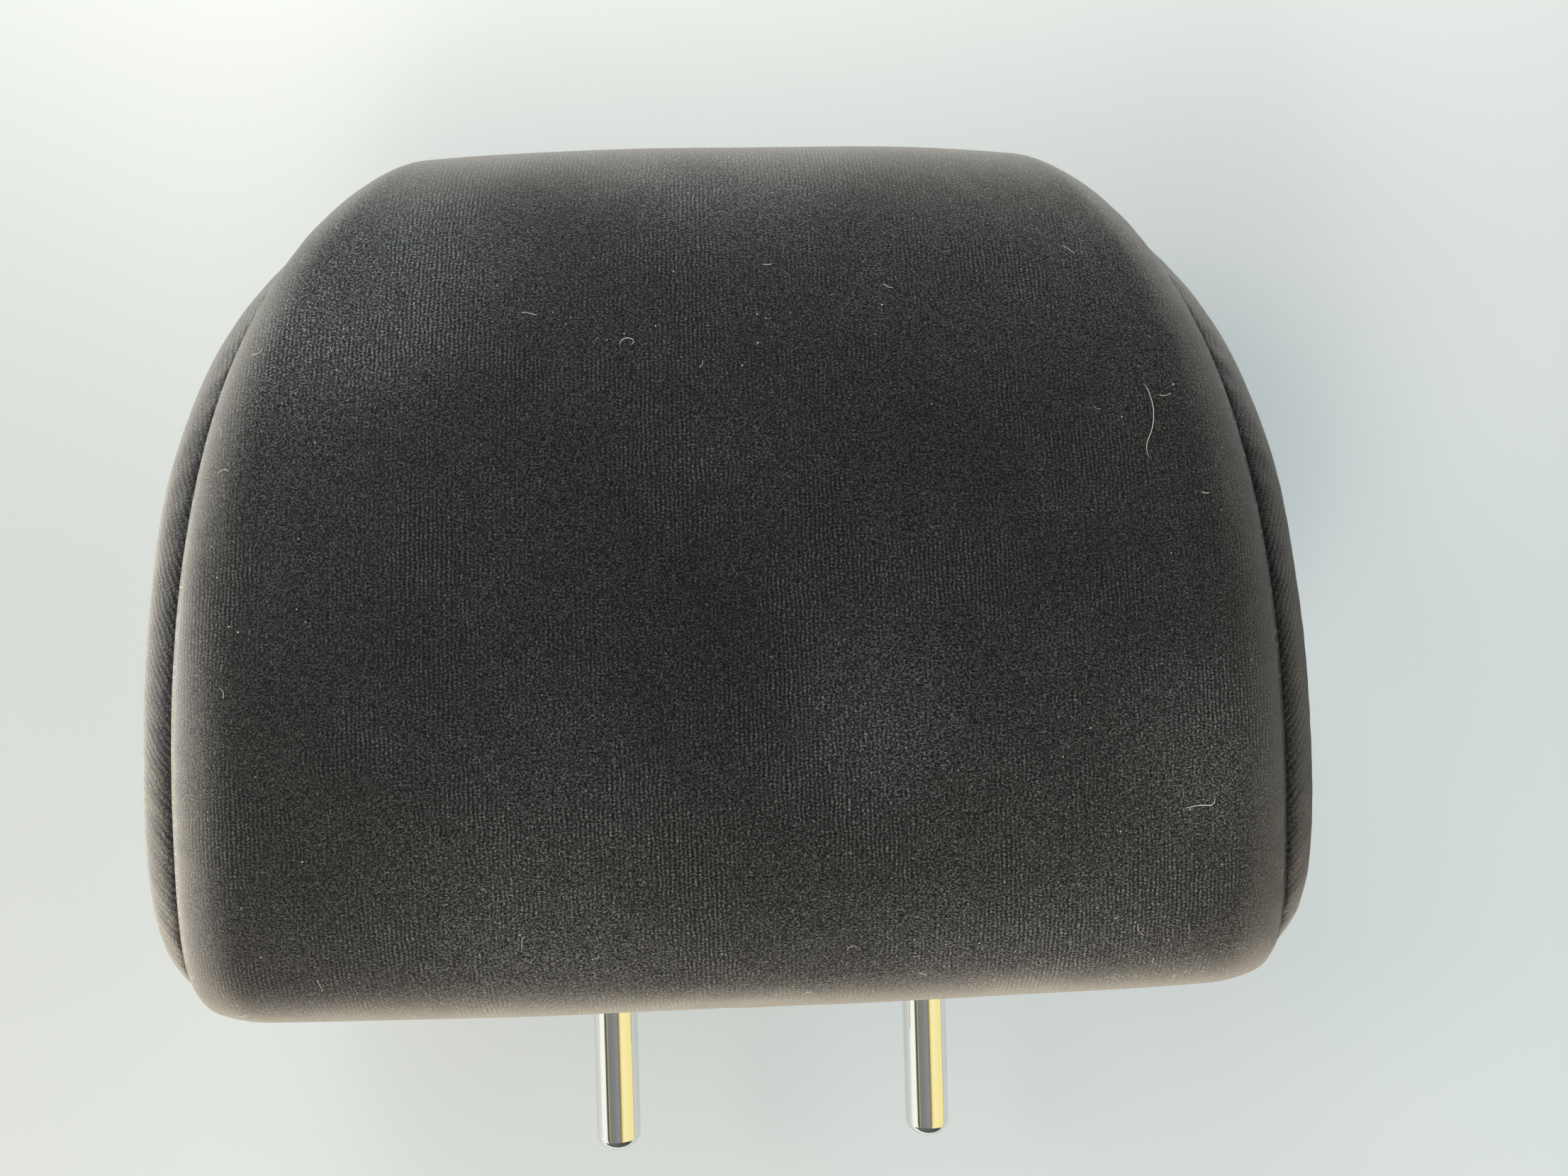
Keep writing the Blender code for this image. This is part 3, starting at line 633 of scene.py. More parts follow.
class HEADRESTRAINT_OT_sew_cover(bpy.types.Operator):
    """Sews the cover's centre panel and its two bulged end pieces"""

    bl_idname = "head_restraint.sew_cover"
    bl_label = "Sew the cover"

    def execute(self, context):
        sizes = context.scene.head_restraint_cushion
        look = context.scene.head_restraint_fabric
        moved = inflate(sizes, context)
        straight = velour_material("velour", look, 0.0, look.wale, look.wales_low, look.wales_high)
        turned = velour_material("velour_turned", look, 38.0, look.rib,
                                 look.rib_shown / 2, look.rib_shown)
        points, flat = panel_grid(sizes, moved)
        mesh = cover_mesh("centre_cover", points, flat, False)
        panel = add_piece(context, "centre_cover", mesh, straight)
        cut_openings(context, sizes, panel)
        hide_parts("centre_panel")
        gone = len(CLOTH_GUSSET)
        for side, name, part in ((1, "right_end_cover", moved[:, -gone:]),
                                 (-1, "left_end_cover", moved[:, :gone][:, ::-1])):
            points, flat = gusset_points(sizes, part)
            points = points * (side, 1, 1) + (sizes.offset, 0, 0)
            if side < 0:
                points, flat = points[:, ::-1], flat[:, ::-1]
            piece = add_piece(context, name, cover_mesh(name, points, flat, True), turned)
            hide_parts("right_gusset" if side > 0 else "left_gusset")
        return {"FINISHED"}


def cut_openings(context, sizes, panel):
    """Cuts the closing slot and the two post holes through the panel with Booleans."""
    cutters = [slab("slot", sizes)]
    for side in (-1, 1):
        cutters.append(rod("hole", side * sizes.post_spacing / 2, sizes.post_hole))
    for mesh in cutters:
        modifier = panel.modifiers.new(mesh.name, "BOOLEAN")
        modifier.operation = "DIFFERENCE"
        modifier.solver = "MANIFOLD"
        modifier.object = new_object(context, mesh.name, mesh)
    settled = panel.evaluated_get(context.evaluated_depsgraph_get())
    mesh = bpy.data.meshes.new_from_object(settled)
    for modifier in list(panel.modifiers):
        bpy.data.objects.remove(modifier.object)
        panel.modifiers.remove(modifier)
    old, panel.data = panel.data, mesh
    mesh.name = "centre_cover"
    bpy.data.meshes.remove(old)


def prism(name, ring, low, high):
    """A closed prism: a ring of (x, y) points at two heights, with a face at each end."""
    count = len(ring)
    verts = np.concatenate([np.c_[ring, np.full(count, h)] for h in (low, high)])
    i = np.arange(count)
    sides = np.stack([i, (i + 1) % count, (i + 1) % count + count, i + count], axis=1).tolist()
    return new_mesh(name, verts, sides + [i[::-1].tolist(), (i + count).tolist()])


def slab(name, sizes):
    """Prism for the closing slot: a rectangle with quarter-circle corners."""
    turn = np.linspace(0, 2 * math.pi, 32, endpoint=False) + math.pi / 32
    radius = 1.5 * MM
    across, along = np.cos(turn), np.sin(turn)
    x = across * radius + np.sign(across) * (sizes.slot_length / 2 - radius) + sizes.offset
    y = along * radius + np.sign(along) * (sizes.slot_width / 2 - radius) + sizes.slot_centre
    return prism(name, np.c_[x, y], -12 * MM, 9 * MM)


def rod(name, x, radius):
    """Prism for a post hole: a circle."""
    turn = np.linspace(0, 2 * math.pi, 64, endpoint=False)
    return prism(name, np.c_[x + radius * np.cos(turn), radius * np.sin(turn)], -12 * MM, 12 * MM)


# Lint


# The longer hairs: place on the front from the cushion's middle line and underside, length,
# all in millimetres, then heading and how far the hair bends and hooks, in radians.
HAIRS = [
    (-46, 124, 6.5, 0.7, -0.8, 0.0), (-31, 121, 5.0, 0.6, 1.4, -2.6), (-24, 154, 5.5, 1.5, -3.2, -1.5),
    (-22, 144, 4.5, -0.2, -1.2, 0.8), (11, 146, 7.0, -1.5, 0.5, 6.5), (50, 132, 4.0, -0.8, 0.6, 2.2),
    (94, 144, 20.0, -1.1, -1.5, 1.8), (-10, 117, 5.0, -0.5, 1.6, -2.8), (2, 106, 10.5, 0.3, -0.8, 1.3),
    (11, 100, 4.5, 0.5, -0.6, 0.4), (10, 94, 2.6, -0.9, -2.4, 0.0), (-43, 69, 4.0, -0.1, -1.0, 0.5),
    (98, 49, 8.0, 0.3, -0.7, 2.4), (79, 134, 3.8, -1.2, 2.6, -3.0), (-46, 163, 4.2, 0.2, -0.9, 1.0),
    (82, 82, 2.2, -1.2, 0.7, 0.0), (67, 105, 2.0, -0.9, 0.3, 0.0), (-60, 124, 3.0, 1.2, 0.9, 0.0),
    (9, 173, 2.4, -0.4, 0.8, 0.0), (36, 168, 2.6, -0.9, 0.9, 0.0), (105, 118, 2.0, -0.6, 0.9, 0.0),
]


# Radius of the longer hairs, how far a hair lies off the pile, and how many rows and columns
# of the face round a hair are searched for the points under it.
HAIR_RADIUS = 0.065 * MM
HAIR_LIFT = 0.1 * MM
NEAR_ROWS, NEAR_COLUMNS = 34, 24


def tube(points, radius, sides=5):
    """A closed tube along a path: rings across it in a frame that turns with the path, with
    both ends drawn to a point."""
    forward = np.gradient(points, axis=0)
    forward /= np.linalg.norm(forward, axis=1, keepdims=True)
    sideways = np.cross(forward, (0.13, 0.97, 0.21))
    sideways /= np.linalg.norm(sideways, axis=1, keepdims=True)
    up = np.cross(forward, sideways)
    turn = np.linspace(0, 2 * math.pi, sides, endpoint=False)
    width = radius * np.sqrt(np.clip(1 - np.linspace(-1, 1, len(points)) ** 6, 0, 1))
    return points[:, None] + width[:, None, None] * (
        np.cos(turn)[:, None] * sideways[:, None] + np.sin(turn)[:, None] * up[:, None])


def strand(length, count, heading, bend, hook):
    """A flat curved line from the origin: its direction turns evenly by the bend, and by the
    hook over its last third. The steps are added up."""
    f = np.linspace(0, 1, count)[:-1]
    angle = heading + bend * f + hook * np.clip(3 * f - 2, 0, 1)
    steps = np.stack([np.cos(angle), np.sin(angle)], axis=1) * length / (count - 1)
    return np.concatenate([[(0, 0)], np.cumsum(steps, axis=0)])


def lay_on(face, outward, place, line):
    """Lays a flat line on the face: it starts at the grid point nearest to the place, is
    spread in the plane that touches the face there, and each of its points then moves along
    the normal of its own nearest grid point until it lies on the face."""
    row, column = np.unravel_index(np.hypot(*(face[..., (0, 2)] - place).transpose(2, 0, 1)).argmin(),
                                   face.shape[:2])
    out = outward[row, column]
    right = np.cross((0, 1.0, 0), out) if abs(out[1]) < 0.5 else np.cross(out, (0, 0, 1.0))
    right /= np.linalg.norm(right)
    right *= np.sign(right[0] + 1e-9)
    up = np.cross(out, right)
    up *= np.sign(up[2] + 1e-9)
    points = face[row, column] + line[:, :1] * right + line[:, 1:] * up
    near = (slice(max(row - NEAR_ROWS, 0), row + NEAR_ROWS + 1),
            slice(max(column - NEAR_COLUMNS, 0), column + NEAR_COLUMNS + 1))
    patch, normals = face[near].reshape(-1, 3), outward[near].reshape(-1, 3)
    close = np.linalg.norm(patch[:, None] - points[None], axis=-1).argmin(0)
    off = ((patch[close] - points) * normals[close]).sum(-1)
    return points + (off[:, None] + HAIR_LIFT) * normals[close]


class HEADRESTRAINT_OT_scatter_lint(bpy.types.Operator):
    """Lays pale hairs and dust specks on the pile"""

    bl_idname = "head_restraint.scatter_lint"
    bl_label = "Scatter the lint"

    def execute(self, context):
        sizes = context.scene.head_restraint_cushion
        look = context.scene.head_restraint_fabric
        face = panel_base(sizes, COVER_ROWS, np.linspace(-0.985, 0.985, 240))
        outward = -inward(face)
        front = (face[:, 120, 1] < 0) & (face[:, 120, 2] > 3 * MM)
        face, outward = face[front], outward[front]
        rng = np.random.default_rng(21)
        tubes = []
        for x, z, length, heading, bend, hook in HAIRS:
            line = strand(length * MM, 26, heading, bend, hook)
            tubes.append(tube(lay_on(face, outward, (x * MM, z * MM), line), HAIR_RADIUS))
        for number in range(look.hairs + look.specks):
            place = (rng.uniform(-116, 116) * MM, rng.uniform(6, 196) * MM)
            if number < look.hairs:
                line = strand(rng.uniform(1.5, 4.5) * MM, 12, *rng.uniform(-2.2, 2.2, 3))
                radius = rng.uniform(0.035, 0.055) * MM
            else:
                line = strand(rng.uniform(0.2, 0.5) * MM, 4, rng.uniform(0, 6), 0, 0)
                radius = rng.uniform(0.07, 0.17) * MM
            tubes.append(tube(lay_on(face, outward, place, line), radius))
        mesh = tubes_mesh("lint", tubes, (sizes.offset, 0, 0))
        add_piece(context, "lint", mesh, plain_material("lint", (0.74, 0.71, 0.62), 0.8))
        return {"FINISHED"}


def tubes_mesh(name, tubes, place):
    """One mesh of many tubes, moved to a place."""
    verts, faces, total = [], [], 0
    for rings in tubes:
        count, sides = rings.shape[:2]
        r, c = ring_faces(count - 1, sides, True)
        faces.append((r * sides + c % sides + total)[:, (0, 3, 2, 1)])
        verts.append(rings.reshape(-1, 3))
        total += count * sides
    mesh = new_mesh(name, np.concatenate(verts) + place, np.concatenate(faces).tolist())
    close_ends(mesh)
    return mesh


def close_ends(mesh):
    """Merges the points where the tubes are drawn in and turns all faces outward."""
    shell = bmesh.new()
    shell.from_mesh(mesh)
    bmesh.ops.remove_doubles(shell, verts=shell.verts, dist=1e-7)
    bmesh.ops.dissolve_degenerate(shell, dist=1e-7, edges=shell.edges)
    bmesh.ops.recalc_face_normals(shell, faces=shell.faces)
    shell.to_mesh(mesh)
    shell.free()
    mesh.shade_smooth()


# Materials


def new_material(name):
    """Starts a material. Returns two short ways: one adds a node and returns its named
    output, or the first one in use, and one gives the shader its values and returns the
    material."""
    material = bpy.data.materials.new(name)
    material.use_nodes = True
    tree = material.node_tree

    def feed(node, inputs):
        for key, value in inputs.items():
            if isinstance(value, bpy.types.NodeSocket):
                tree.links.new(value, node.inputs[key])
            else:
                node.inputs[key].default_value = value

    def add(kind, inputs=None, out=None, **settings):
        node = tree.nodes.new("ShaderNode" + kind)
        for key, value in settings.items():
            setattr(node, key, value)
        feed(node, inputs or {})
        return node.outputs[out] if out else next(o for o in node.outputs if o.enabled)

    def coat(inputs):
        feed(tree.nodes["Principled BSDF"], inputs)
        return material

    return add, coat


def plain_material(name, colour, roughness):
    """One colour with a fine unevenness in its shade."""
    add, coat = new_material(name)
    grain = add("TexNoise", {"Vector": add("TexCoord", out="Object"), "Scale": 900.0, "Detail": 3.0})
    shade = add("MapRange", {"Value": grain, "To Min": 0.75, "To Max": 1.2})
    tone = add("VectorMath", {0: colour, "Scale": shade}, operation="SCALE")
    return coat({"Base Color": tone, "Roughness": roughness})


# Lighter patches of the pile, partly where its nap lies the other way and partly painted light at the
# top,
# the upper left and along the bottom: middle, reach in millimetres and how much lighter they are.
BRUSHED_AND_LIT = [((-95, -55, 176), 62, 1.9), ((-8, -30, 205), 55, 1.7), ((100, -70, 60), 38, 1.0),
           ((26, -76, 68), 32, 0.65), ((-45, -72, 12), 85, 0.75), ((60, -72, 12), 95, 0.8)]


def velour_material(name, look, angle, wale_width, least, most):
    """Short-pile velour knit, worked out on the flat pattern and turned by an angle.

    Its height is a sum of curly fibre ends, from the places where a noise crosses its middle,
    and of loops, from staggered waves across and along the wales. A slow noise says where
    the wales show. The pile is lighter and darker in patches, partly where its nap lies the
    other way and partly painted light at the top, the upper left and along the bottom. Its
    colour turns to a pale taupe at low angles, a painted sheen."""
    add, coat = new_material(name)

    def calc(operation, *values):
        return add("Math", dict(enumerate(values)), operation=operation)

    def vector(operation, *values):
        return add("VectorMath", dict(enumerate(values)), operation=operation)

    def spread(value, low, high, to_low=0.0, to_high=1.0, kind="LINEAR"):
        return add("MapRange", {"Value": value, "From Min": low, "From Max": high, "To Min": to_low,
                                "To Max": to_high}, interpolation_type=kind)

    def noise(place, scale, out="Fac", dimensions="2D", **inputs):
        inputs = {key.title(): value for key, value in inputs.items()}
        return add("TexNoise", {"Vector": place, "Scale": scale, **inputs}, out,
                   noise_dimensions=dimensions)

    flat = add("UVMap", uv_map="cut")
    turned = add("VectorRotate", {"Vector": flat, "Angle": math.radians(angle)}, rotation_type="Z_AXIS")
    drift = vector("SUBTRACT", noise(turned, 260.0, "Color", detail=2.0), (0.5, 0.5, 0.5))
    place = vector("MULTIPLY_ADD", drift, (1.1 * MM, 1.1 * MM, 0), turned)
    parts = add("SeparateXYZ", {0: place}).node.outputs
    across = calc("MULTIPLY", parts["X"], math.tau / wale_width)
    along = calc("MULTIPLY", parts["Y"], math.tau / look.course)
    stagger = calc("MULTIPLY_ADD", calc("SINE", calc("MULTIPLY", across, 0.5)), 1.3, along)
    loops = calc("MULTIPLY_ADD", calc("COSINE", stagger), 0.5, calc("COSINE", across))
    loops = spread(loops, -1.3, 1.3)
    lying = vector("MULTIPLY", place, (0.86, 1.1, 1))
    curl = noise(lying, 1400.0, detail=1.5, roughness=0.6, distortion=1.0)
    curl = spread(calc("ABSOLUTE", calc("SUBTRACT", curl, 0.5)), 0.0, 0.11, 1.0, 0.0)
    curled = calc("MULTIPLY_ADD", curl, 0.75, 0.33)
    tuft = spread(noise(lying, 2100.0, detail=2.5, roughness=0.7), 0.40, 0.64)
    fibres = calc("MULTIPLY", curled, calc("MULTIPLY_ADD", tuft, 1.1, 0.04))
    shown = noise(flat, 38.0, detail=3.0, roughness=0.6)
    shown = spread(shown, 0.40, 0.68, least, most, "SMOOTHSTEP")
    knit = calc("MULTIPLY", loops, calc("MULTIPLY_ADD", fibres, 1.3, 0.3))
    height = add("Mix", {"Factor": shown, "A": fibres, "B": knit}, data_type="FLOAT")

    spot = add("TexCoord", out="Object")
    nap = noise(spot, 10.0, dimensions="3D", detail=4.0, roughness=0.55, distortion=0.8)
    patch = noise(spot, 26.0, dimensions="3D", detail=5.0, roughness=0.65, distortion=0.4)
    # Lighter and darker pile: a slow noise of nap, then patches that are partly pile whose nap lies the
    # other way and partly painted light at the top, the upper left and along the bottom.
    nap_and_light = spread(nap, 0.36, 0.66, 0.74, 1.2)
    for centre, reach, gain in BRUSHED_AND_LIT:
        away = vector("DISTANCE", spot, tuple(c * MM for c in centre))
        away = calc("MULTIPLY", away, spread(patch, 0.3, 0.7, 0.75, 1.3))
        lit = spread(away, 0.0, reach * MM, gain, 0.0, "SMOOTHERSTEP")
        nap_and_light = calc("ADD", nap_and_light, lit)
    nap_and_light = calc("MULTIPLY", nap_and_light, spread(patch, 0.35, 0.68, 0.8, 1.22))
    shade = calc("MULTIPLY", calc("MULTIPLY", calc("POWER", height, 1.5), 2.25), nap_and_light)
    pile = add("Mix", {"Factor": shade, "A": (*look.ground, 1), "B": (*look.pile, 1)},
               data_type="RGBA", clamp_factor=False)
    # Painted sheen: where the surface turns from the view, the pile's colour turns to the pale taupe
    # bloom, with an uneven edge from the patch noise.
    sheen_colour = add("VectorMath", {0: tuple(look.painted_sheen), "Scale": spread(height, 0.0, 0.9, 0.55, 1.35)},
               operation="SCALE")
    edge = calc("ADD", add("LayerWeight", {"Blend": 0.5}, "Facing"),
                calc("MULTIPLY_ADD", patch, 0.24, -0.12))
    edge = spread(edge, look.bloom_start, look.bloom_full, 0.0, look.bloom_weight, "SMOOTHSTEP")
    return coat({
        "Base Color": add("Mix", {"Factor": edge, "A": pile, "B": sheen_colour}, data_type="RGBA"),
        "Normal": add("Bump", {"Height": height, "Strength": 0.6, "Distance": 0.32 * MM}),
        "Roughness": 0.95, "Specular IOR Level": 0.12, "Sheen Weight": look.sheen_weight,
        "Sheen Roughness": 0.4, "Sheen Tint": (*look.sheen, 1)})


def chrome_material(name):
    """Polished chrome with faint rub marks along the posts."""
    add, coat = new_material(name)
    drawn = add("Mapping", {"Vector": add("TexCoord", out="Object"), "Scale": (1400, 1400, 35)})
    rub = add("TexNoise", {"Vector": drawn, "Scale": 1.0, "Detail": 4.0})
    rough = add("MapRange", {"Value": rub, "From Min": 0.45, "From Max": 0.75,
                             "To Min": 0.045, "To Max": 0.15})
    return coat({"Base Color": (0.80, 0.80, 0.79, 1), "Metallic": 1.0, "Roughness": rough})


def steel_material(name):
    """Bare drawn steel with dull and bright streaks."""
    add, coat = new_material(name)
    streak = add("TexNoise", {"Vector": add("TexCoord", out="Object"), "Scale": 260.0, "Detail": 6.0,
                              "Roughness": 0.65})
    rough = add("MapRange", {"Value": streak, "To Min": 0.3, "To Max": 0.6})
    tone = add("Mix", {"Factor": streak, "A": (0.26, 0.26, 0.27, 1), "B": (0.42, 0.42, 0.42, 1)},
               data_type="RGBA")
    return coat({"Base Color": tone, "Metallic": 1.0, "Roughness": rough})


def foam_material(name):
    """Moulded foam: small open cells under a thin skin."""
    add, coat = new_material(name)
    cells = add("TexVoronoi", {"Vector": add("TexCoord", out="Object"), "Scale": 900.0})
    tone = add("Mix", {"Factor": cells, "A": (0.50, 0.43, 0.27, 1), "B": (0.78, 0.72, 0.53, 1)},
               data_type="RGBA")
    bump = add("Bump", {"Height": cells, "Strength": 0.6, "Distance": 0.4 * MM})
    return coat({"Base Color": tone, "Normal": bump, "Roughness": 0.95})


def plastic_material(name):
    """Black moulded plastic with a fine grain."""
    add, coat = new_material(name)
    place = add("TexCoord", out="Object")
    grain = add("TexVoronoi", {"Vector": place, "Scale": 2200.0})
    bump = add("Bump", {"Height": grain, "Strength": 0.35, "Distance": 0.06 * MM})
    shade = add("TexNoise", {"Vector": place, "Scale": 300.0, "Detail": 3.0})
    rough = add("MapRange", {"Value": shade, "To Min": 0.42, "To Max": 0.6})
    return coat({"Base Color": (0.018, 0.018, 0.019, 1), "Normal": bump, "Roughness": rough})


def rod_points(sizes):
    """The bent rod as a grid of rings: along the bar's middle line, which is straight up one
    post, a quarter circle, straight across and the same back down, and round it. Near an end
    the ring's radius follows a quarter circle, and the end itself is one point."""
    radius = sizes.diameter / 2
    side, top = sizes.spread / 2 - radius, sizes.high - radius
    turn = np.linspace(0, math.pi / 2, 13)
    tip = 1 + len(turn)
    tip_width = radius - sizes.tip + sizes.tip * np.sin(turn)
    tip_height = sizes.low + sizes.tip * (1 - np.cos(turn))
    post = np.linspace(sizes.low + sizes.tip, top - sizes.bend, 26)[1:]
    x = np.concatenate([np.full(tip + len(post), -side), sizes.bend * (1 - np.cos(turn[1:])) - side, [0]])
    bend_height = top - sizes.bend + sizes.bend * np.sin(turn[1:])
    z = np.concatenate([[sizes.low], tip_height, post, bend_height, [top]])
    width = np.concatenate([[0], tip_width, np.full(len(x) - tip, radius)])
    x, z = np.append(x, -x[-2::-1]), np.append(z, z[-2::-1])
    width = np.append(width, width[-2::-1])
    ahead = np.stack([np.gradient(x), np.gradient(z)])
    ahead[:, :tip] = [[0], [1]]
    ahead[:, -tip:] = [[0], [-1]]
    ahead /= np.linalg.norm(ahead, axis=0)
    angle = np.linspace(0, 2 * math.pi, 64, endpoint=False)[:, None]
    return np.stack([x - width * np.cos(angle) * ahead[1], width * np.sin(angle) + 0 * x,
                     z + width * np.cos(angle) * ahead[0]], axis=-1)


class HEADRESTRAINT_OT_bend_rod(bpy.types.Operator):
    """Bends the rod whose bare ends are the chromed posts"""

    bl_idname = "head_restraint.bend_rod"
    bl_label = "Bend the rod"

    def execute(self, context):
        mesh, _ = skin_mesh("polished_rod", rod_points(context.scene.head_restraint_rod))
        mesh.shade_smooth()
        piece = add_piece(context, "polished_rod", mesh, chrome_material("polished_chrome"))
        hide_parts("stay_rod")
        return {"FINISHED"}


class HEADRESTRAINT_OT_finish_hardware(bpy.types.Operator):
    """Gives the inner frame, the foam and the plastic trim their finishes"""

    bl_idname = "head_restraint.finish_hardware"
    bl_label = "Finish the hardware"

    def execute(self, context):
        finishes = {
            steel_material("drawn_steel"): ["frame_wire", "head_plate"],
            foam_material("moulded_foam"): ["foam_core"],
            plastic_material("grained_plastic"): [
                "left_post_collar", "right_post_collar", "left_collar_ring", "right_collar_ring",
                "front_closing_strip", "rear_closing_strip"],
        }
        for material, names in finishes.items():
            for name in names:
                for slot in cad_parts[name].material_slots:
                    slot.material = material
        return {"FINISHED"}


# The stage


# Where the pale surface lies behind the cushion, and the soft pools of light on it: middle
# across and up, reach and colour.
WALL = 45.6 * MM
POOLS = [((0.2, -0.1), 0.6, (0.15, 0.19, 0.21)), ((0.0, 0.6), 0.6, (0.88, 0.85, 0.75)),
         ((0.36, 0.34), 0.36, (0.12, 0.13, 0.125))]


def surface_material(look):
    """Pale matt surface for what the camera and the chrome see, from its front only. Other
    light passes through it, so that the object is lit from all round and its back can be seen."""
    add, coat = new_material("pale_surface")
    light = tuple(look.glow * c for c in look.surface)
    for (x, z), reach, colour in POOLS:
        middle = add("VectorMath", {0: add("TexCoord", out="Object"), 1: (x, WALL, z)},
                     operation="DISTANCE")
        pool = add("MapRange", {"Value": middle, "From Max": reach, "To Min": 1.0, "To Max": 0.0},
                   interpolation_type="SMOOTHERSTEP")
        light = add("VectorMath", {0: colour, 1: pool, 2: light}, operation="MULTIPLY_ADD")
    material = coat({"Base Color": (*look.surface, 1), "Roughness": 0.85, "Specular IOR Level": 0.1,
                     "Emission Color": light, "Emission Strength": 1.0})
    path = add("LightPath").node.outputs
    seen = add("Math", {0: path["Is Camera Ray"], 1: path["Is Glossy Ray"]}, operation="MAXIMUM")
    seen = add("Math", {0: seen, 1: path["Is Transmission Ray"]}, operation="MAXIMUM")
    seen = add("Math", {0: seen, 1: add("NewGeometry", out="Backfacing")},
               operation="SUBTRACT", use_clamp=True)
    tree = material.node_tree
    matt = tree.nodes["Principled BSDF"].outputs[0]
    mix = add("MixShader", {0: seen, 1: add("BsdfTransparent"), 2: matt})
    tree.links.new(mix, tree.nodes["Material Output"].inputs["Surface"])
    return material


# What the chrome mirrors, from the left round to the right: turn about the posts from the
# line to the camera, in degrees, and colour.
MIRRORED = [(-125, (0.70, 0.74, 0.74)), (-114, (0.95, 0.95, 0.89)), (-62, (1.0, 1.0, 0.93)),
            (-56, (0.08, 0.08, 0.03)), (-49, (0.10, 0.10, 0.04)), (-45, (0.40, 0.40, 0.30)),
            (-38, (0.21, 0.21, 0.20)), (-16, (0.23, 0.23, 0.23)), (6, (0.28, 0.28, 0.27)),
            (17, (0.22, 0.20, 0.13)), (24, (0.95, 0.72, 0.24)), (34, (1.0, 0.92, 0.50)),
            (70, (1.0, 0.84, 0.34)), (98, (0.94, 0.84, 0.50)), (108, (0.50, 0.56, 0.60)),
            (125, (0.60, 0.67, 0.72))]


# How far round the screen that the chrome mirrors reaches to each side, in degrees, and its
# radius round the posts.
SCREEN_TURN = 125
SCREEN_RADIUS = 1.5


def screen_mesh(name):
    """An upright part of a cylinder round the posts, with the turn from the camera's side as
    one side of its UV map and the height as the other."""
    turn, height = np.meshgrid(np.linspace(-SCREEN_TURN, SCREEN_TURN, 126),
                               np.linspace(-1.5, 1.2, 10), indexing="ij")
    angle = np.radians(turn)
    points = np.stack([SCREEN_RADIUS * np.sin(angle), -SCREEN_RADIUS * np.cos(angle), height], axis=-1)
    rows, columns = turn.shape
    corner = ring_faces(rows - 1, columns, False)
    mesh = new_mesh(name, points.reshape(-1, 3), (corner[0] * columns + corner[1]).tolist())
    place = np.stack([turn[corner] / (2 * SCREEN_TURN) + 0.5, height[corner]], axis=-1)
    mesh.uv_layers.new(name="round").data.foreach_set("uv", place.astype(np.float32).ravel())
    return mesh


def screen_material(name):
    """Plain light in upright bands of colour, for the chrome to mirror."""
    add, coat = new_material(name)
    across = add("SeparateXYZ", {0: add("UVMap", uv_map="round")}, "X")
    ramp = add("ValToRGB", {"Fac": across}, "Color")
    stops = ramp.node.color_ramp.elements
    for turn, colour in MIRRORED[1:-1]:
        stops.new(turn / (2 * SCREEN_TURN) + 0.5)
    for stop, (turn, colour) in zip(stops, MIRRORED):
        stop.position = turn / (2 * SCREEN_TURN) + 0.5
        stop.color = (*colour, 1)
    light = add("Emission", {"Color": ramp, "Strength": 1.15})
    material = coat({})
    tree = material.node_tree
    tree.links.new(light, tree.nodes["Material Output"].inputs["Surface"])
    return material


# The middle of the cushion, where the lamps point.
MIDDLE = (0, 0, 0.09)

# The camera as it was solved from the photograph: yaw, pitch and roll in degrees, and place.
CAMERA_TURNS = (2.26, 0.23, -1.66)
CAMERA_PLACE = (-5.8 * MM, -328.4 * MM, 100.7 * MM)


def aim(obj, place, target):
    """Puts an object at a place with its -Z axis towards a target."""
    place, target = np.array(place, float), np.array(target, float)
    back = (place - target) / np.linalg.norm(place - target)
    right = np.cross((0, 0, 1), back)
    right /= np.linalg.norm(right)
    up = np.cross(back, right)
    obj.matrix_world = Matrix([*np.c_[right, up, back, place], [0, 0, 0, 1]])


def lamp(context, name, place, size, power, colour):
    """A soft rectangular lamp that points at the cushion's middle."""
    light = bpy.data.lights.new(name, "AREA")
    light.shape = "RECTANGLE"
    light.size, light.size_y = size
    light.energy = power
    light.color = colour
    obj = new_object(context, name, light)
    obj.visible_camera = obj.visible_glossy = False
    aim(obj, place, MIDDLE)
    return obj


def sky(look):
    """Even pale light from all round, which fades from the left to the right."""
    world = bpy.data.worlds.new("pale_sky")
    world.use_nodes = True
    tree = world.node_tree
    side = tree.nodes.new("ShaderNodeSeparateXYZ")
    tree.links.new(tree.nodes.new("ShaderNodeTexCoord").outputs["Generated"], side.inputs[0])
    fade = tree.nodes.new("ShaderNodeMapRange")
    fade.inputs["From Min"].default_value = -1
    fade.inputs["To Min"].default_value = look.sky_left
    fade.inputs["To Max"].default_value = look.sky_right
    tree.links.new(side.outputs["X"], fade.inputs["Value"])
    background = tree.nodes["Background"]
    background.inputs["Color"].default_value = (0.94, 1.0, 1.0, 1)
    tree.links.new(fade.outputs["Result"], background.inputs["Strength"])
    return world


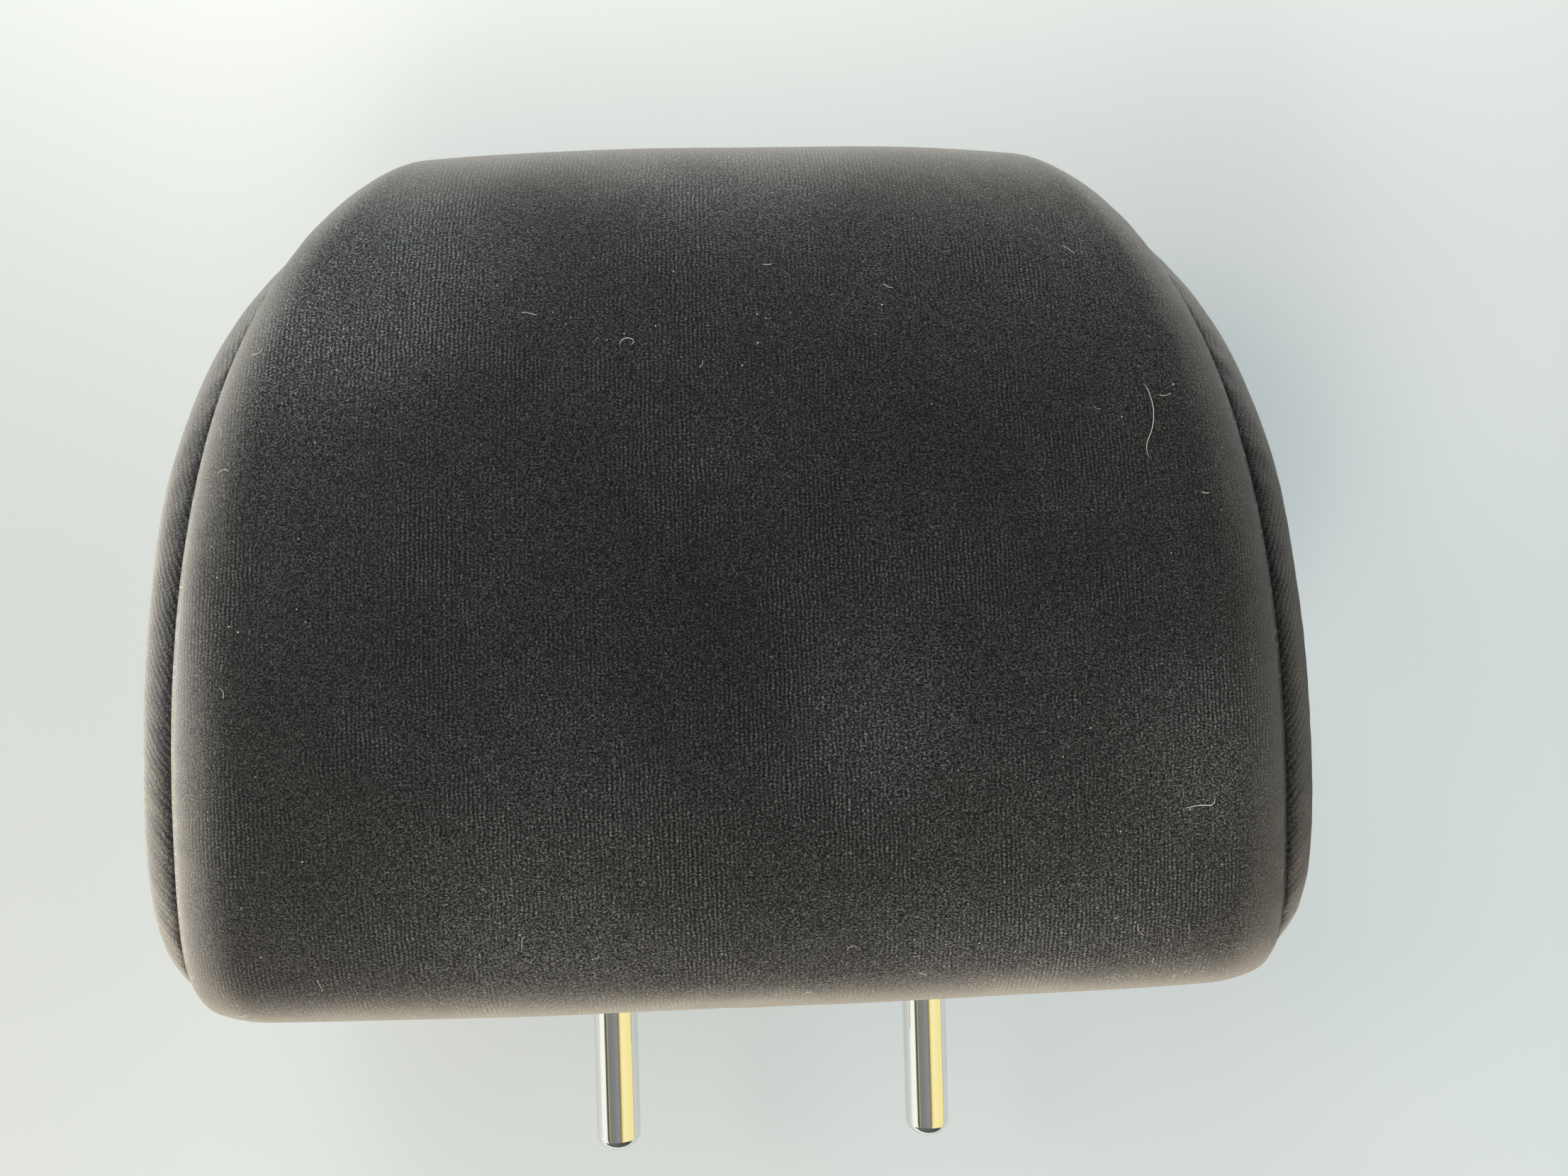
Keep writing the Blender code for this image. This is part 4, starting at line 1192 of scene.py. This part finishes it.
class HEADRESTRAINT_OT_set_stage(bpy.types.Operator):
    """Sets the pale surface, the lamps, the world and the camera"""

    bl_idname = "head_restraint.set_stage"
    bl_label = "Set the stage"

    def execute(self, context):
        look = context.scene.head_restraint_stage
        corners = [(-3, WALL, -3), (3, WALL, -3), (3, WALL, 3), (-3, WALL, 3)]
        obj = new_object(context, "pale_surface", new_mesh("pale_surface", corners, [(0, 1, 2, 3)]))
        obj.data.materials.append(surface_material(look))
        lamps = {
            "left_lamp": ((-1.1, -1.0, 0.5), (0.5, 0.5), look.left, (1.0, 0.86, 0.78)),
            "low_left_lamp": ((-1.1, -0.4, -0.8), (0.8, 0.8), look.left / 4, (0.78, 0.95, 1.0)),
            "top_left_lamp": ((-1.0, -0.4, 1.1), (0.8, 0.8), look.top, (0.94, 1.0, 0.96)),
            "top_lamp": ((-0.42, -0.3, 1.45), (1.0, 0.8), look.top * 6, (0.9, 0.96, 1.0)),
            "right_lamp": ((1.1, -1.0, 0.5), (0.9, 0.9), look.right, (0.66, 0.84, 1.0)),
            "back_lamp": ((0.1, 1.2, 0.5), (1.0, 1.0), look.back, (1.0, 0.97, 0.93)),
            "under_lamp": ((-0.45, -0.35, -1.25), (1.0, 0.8), look.under, (1.0, 0.93, 0.82)),
        }
        for name, settings in lamps.items():
            lamp(context, name, *settings)
        screen = new_object(context, "chrome_screen", screen_mesh("chrome_screen"))
        screen.data.materials.append(screen_material("chrome_screen"))
        for ray in ("camera", "diffuse", "transmission", "volume_scatter", "shadow"):
            setattr(screen, "visible_" + ray, False)
        context.scene.world = sky(look)
        self.place_camera(context, look)
        context.scene.view_settings.view_transform = "Standard"
        return {"FINISHED"}

    def place_camera(self, context, look):
        """Puts the camera where the photograph was taken from: its axes come from a yaw, a
        small pitch and a roll about the line of sight."""
        yaw, pitch, roll = (math.radians(a) for a in CAMERA_TURNS)
        level = np.array([math.sin(yaw), math.cos(yaw), 0])
        ahead = level * math.cos(pitch) - np.array([0, 0, math.sin(pitch)])
        right = np.array([math.cos(yaw), -math.sin(yaw), 0])
        up = np.cross(right, ahead)
        right, up = (math.cos(roll) * right + math.sin(roll) * up,
                     math.cos(roll) * up - math.sin(roll) * right)
        data = bpy.data.cameras.new("camera")
        data.lens = look.lens
        data.sensor_width = 36
        data.sensor_fit = "HORIZONTAL"
        data.clip_start = 0.01
        camera = new_object(context, "camera", data)
        camera.matrix_world = Matrix([*np.c_[right, up, -ahead, CAMERA_PLACE], [0, 0, 0, 1]])
        context.scene.camera = camera


class HEADRESTRAINT_PT_panel(bpy.types.Panel):
    """Lists the steps that dress the head restraint"""

    bl_idname = "HEADRESTRAINT_PT_panel"
    bl_label = "Head restraint"
    bl_space_type = "VIEW_3D"
    bl_region_type = "UI"
    bl_category = "Head restraint"

    def draw(self, context):
        for operator in STEPS:
            self.layout.operator(operator.bl_idname)


STEPS = (HEADRESTRAINT_OT_sew_cover, HEADRESTRAINT_OT_scatter_lint, HEADRESTRAINT_OT_bend_rod,
         HEADRESTRAINT_OT_finish_hardware, HEADRESTRAINT_OT_set_stage)
SETTINGS = {"head_restraint_cushion": CushionSizes, "head_restraint_rod": RodSizes,
            "head_restraint_fabric": FabricLook, "head_restraint_stage": StageLook}
CLASSES = (*SETTINGS.values(), *STEPS, HEADRESTRAINT_PT_panel)


def register():
    for item in CLASSES:
        bpy.utils.register_class(item)
    for name, settings in SETTINGS.items():
        setattr(bpy.types.Scene, name, PointerProperty(type=settings))


def unregister():
    for name in SETTINGS:
        delattr(bpy.types.Scene, name)
    for item in reversed(CLASSES):
        bpy.utils.unregister_class(item)


def main():
    register()
    bpy.ops.head_restraint.sew_cover()
    bpy.ops.head_restraint.scatter_lint()
    bpy.ops.head_restraint.bend_rod()
    bpy.ops.head_restraint.finish_hardware()
    bpy.ops.head_restraint.set_stage()


if __name__ == "__main__":
    main()
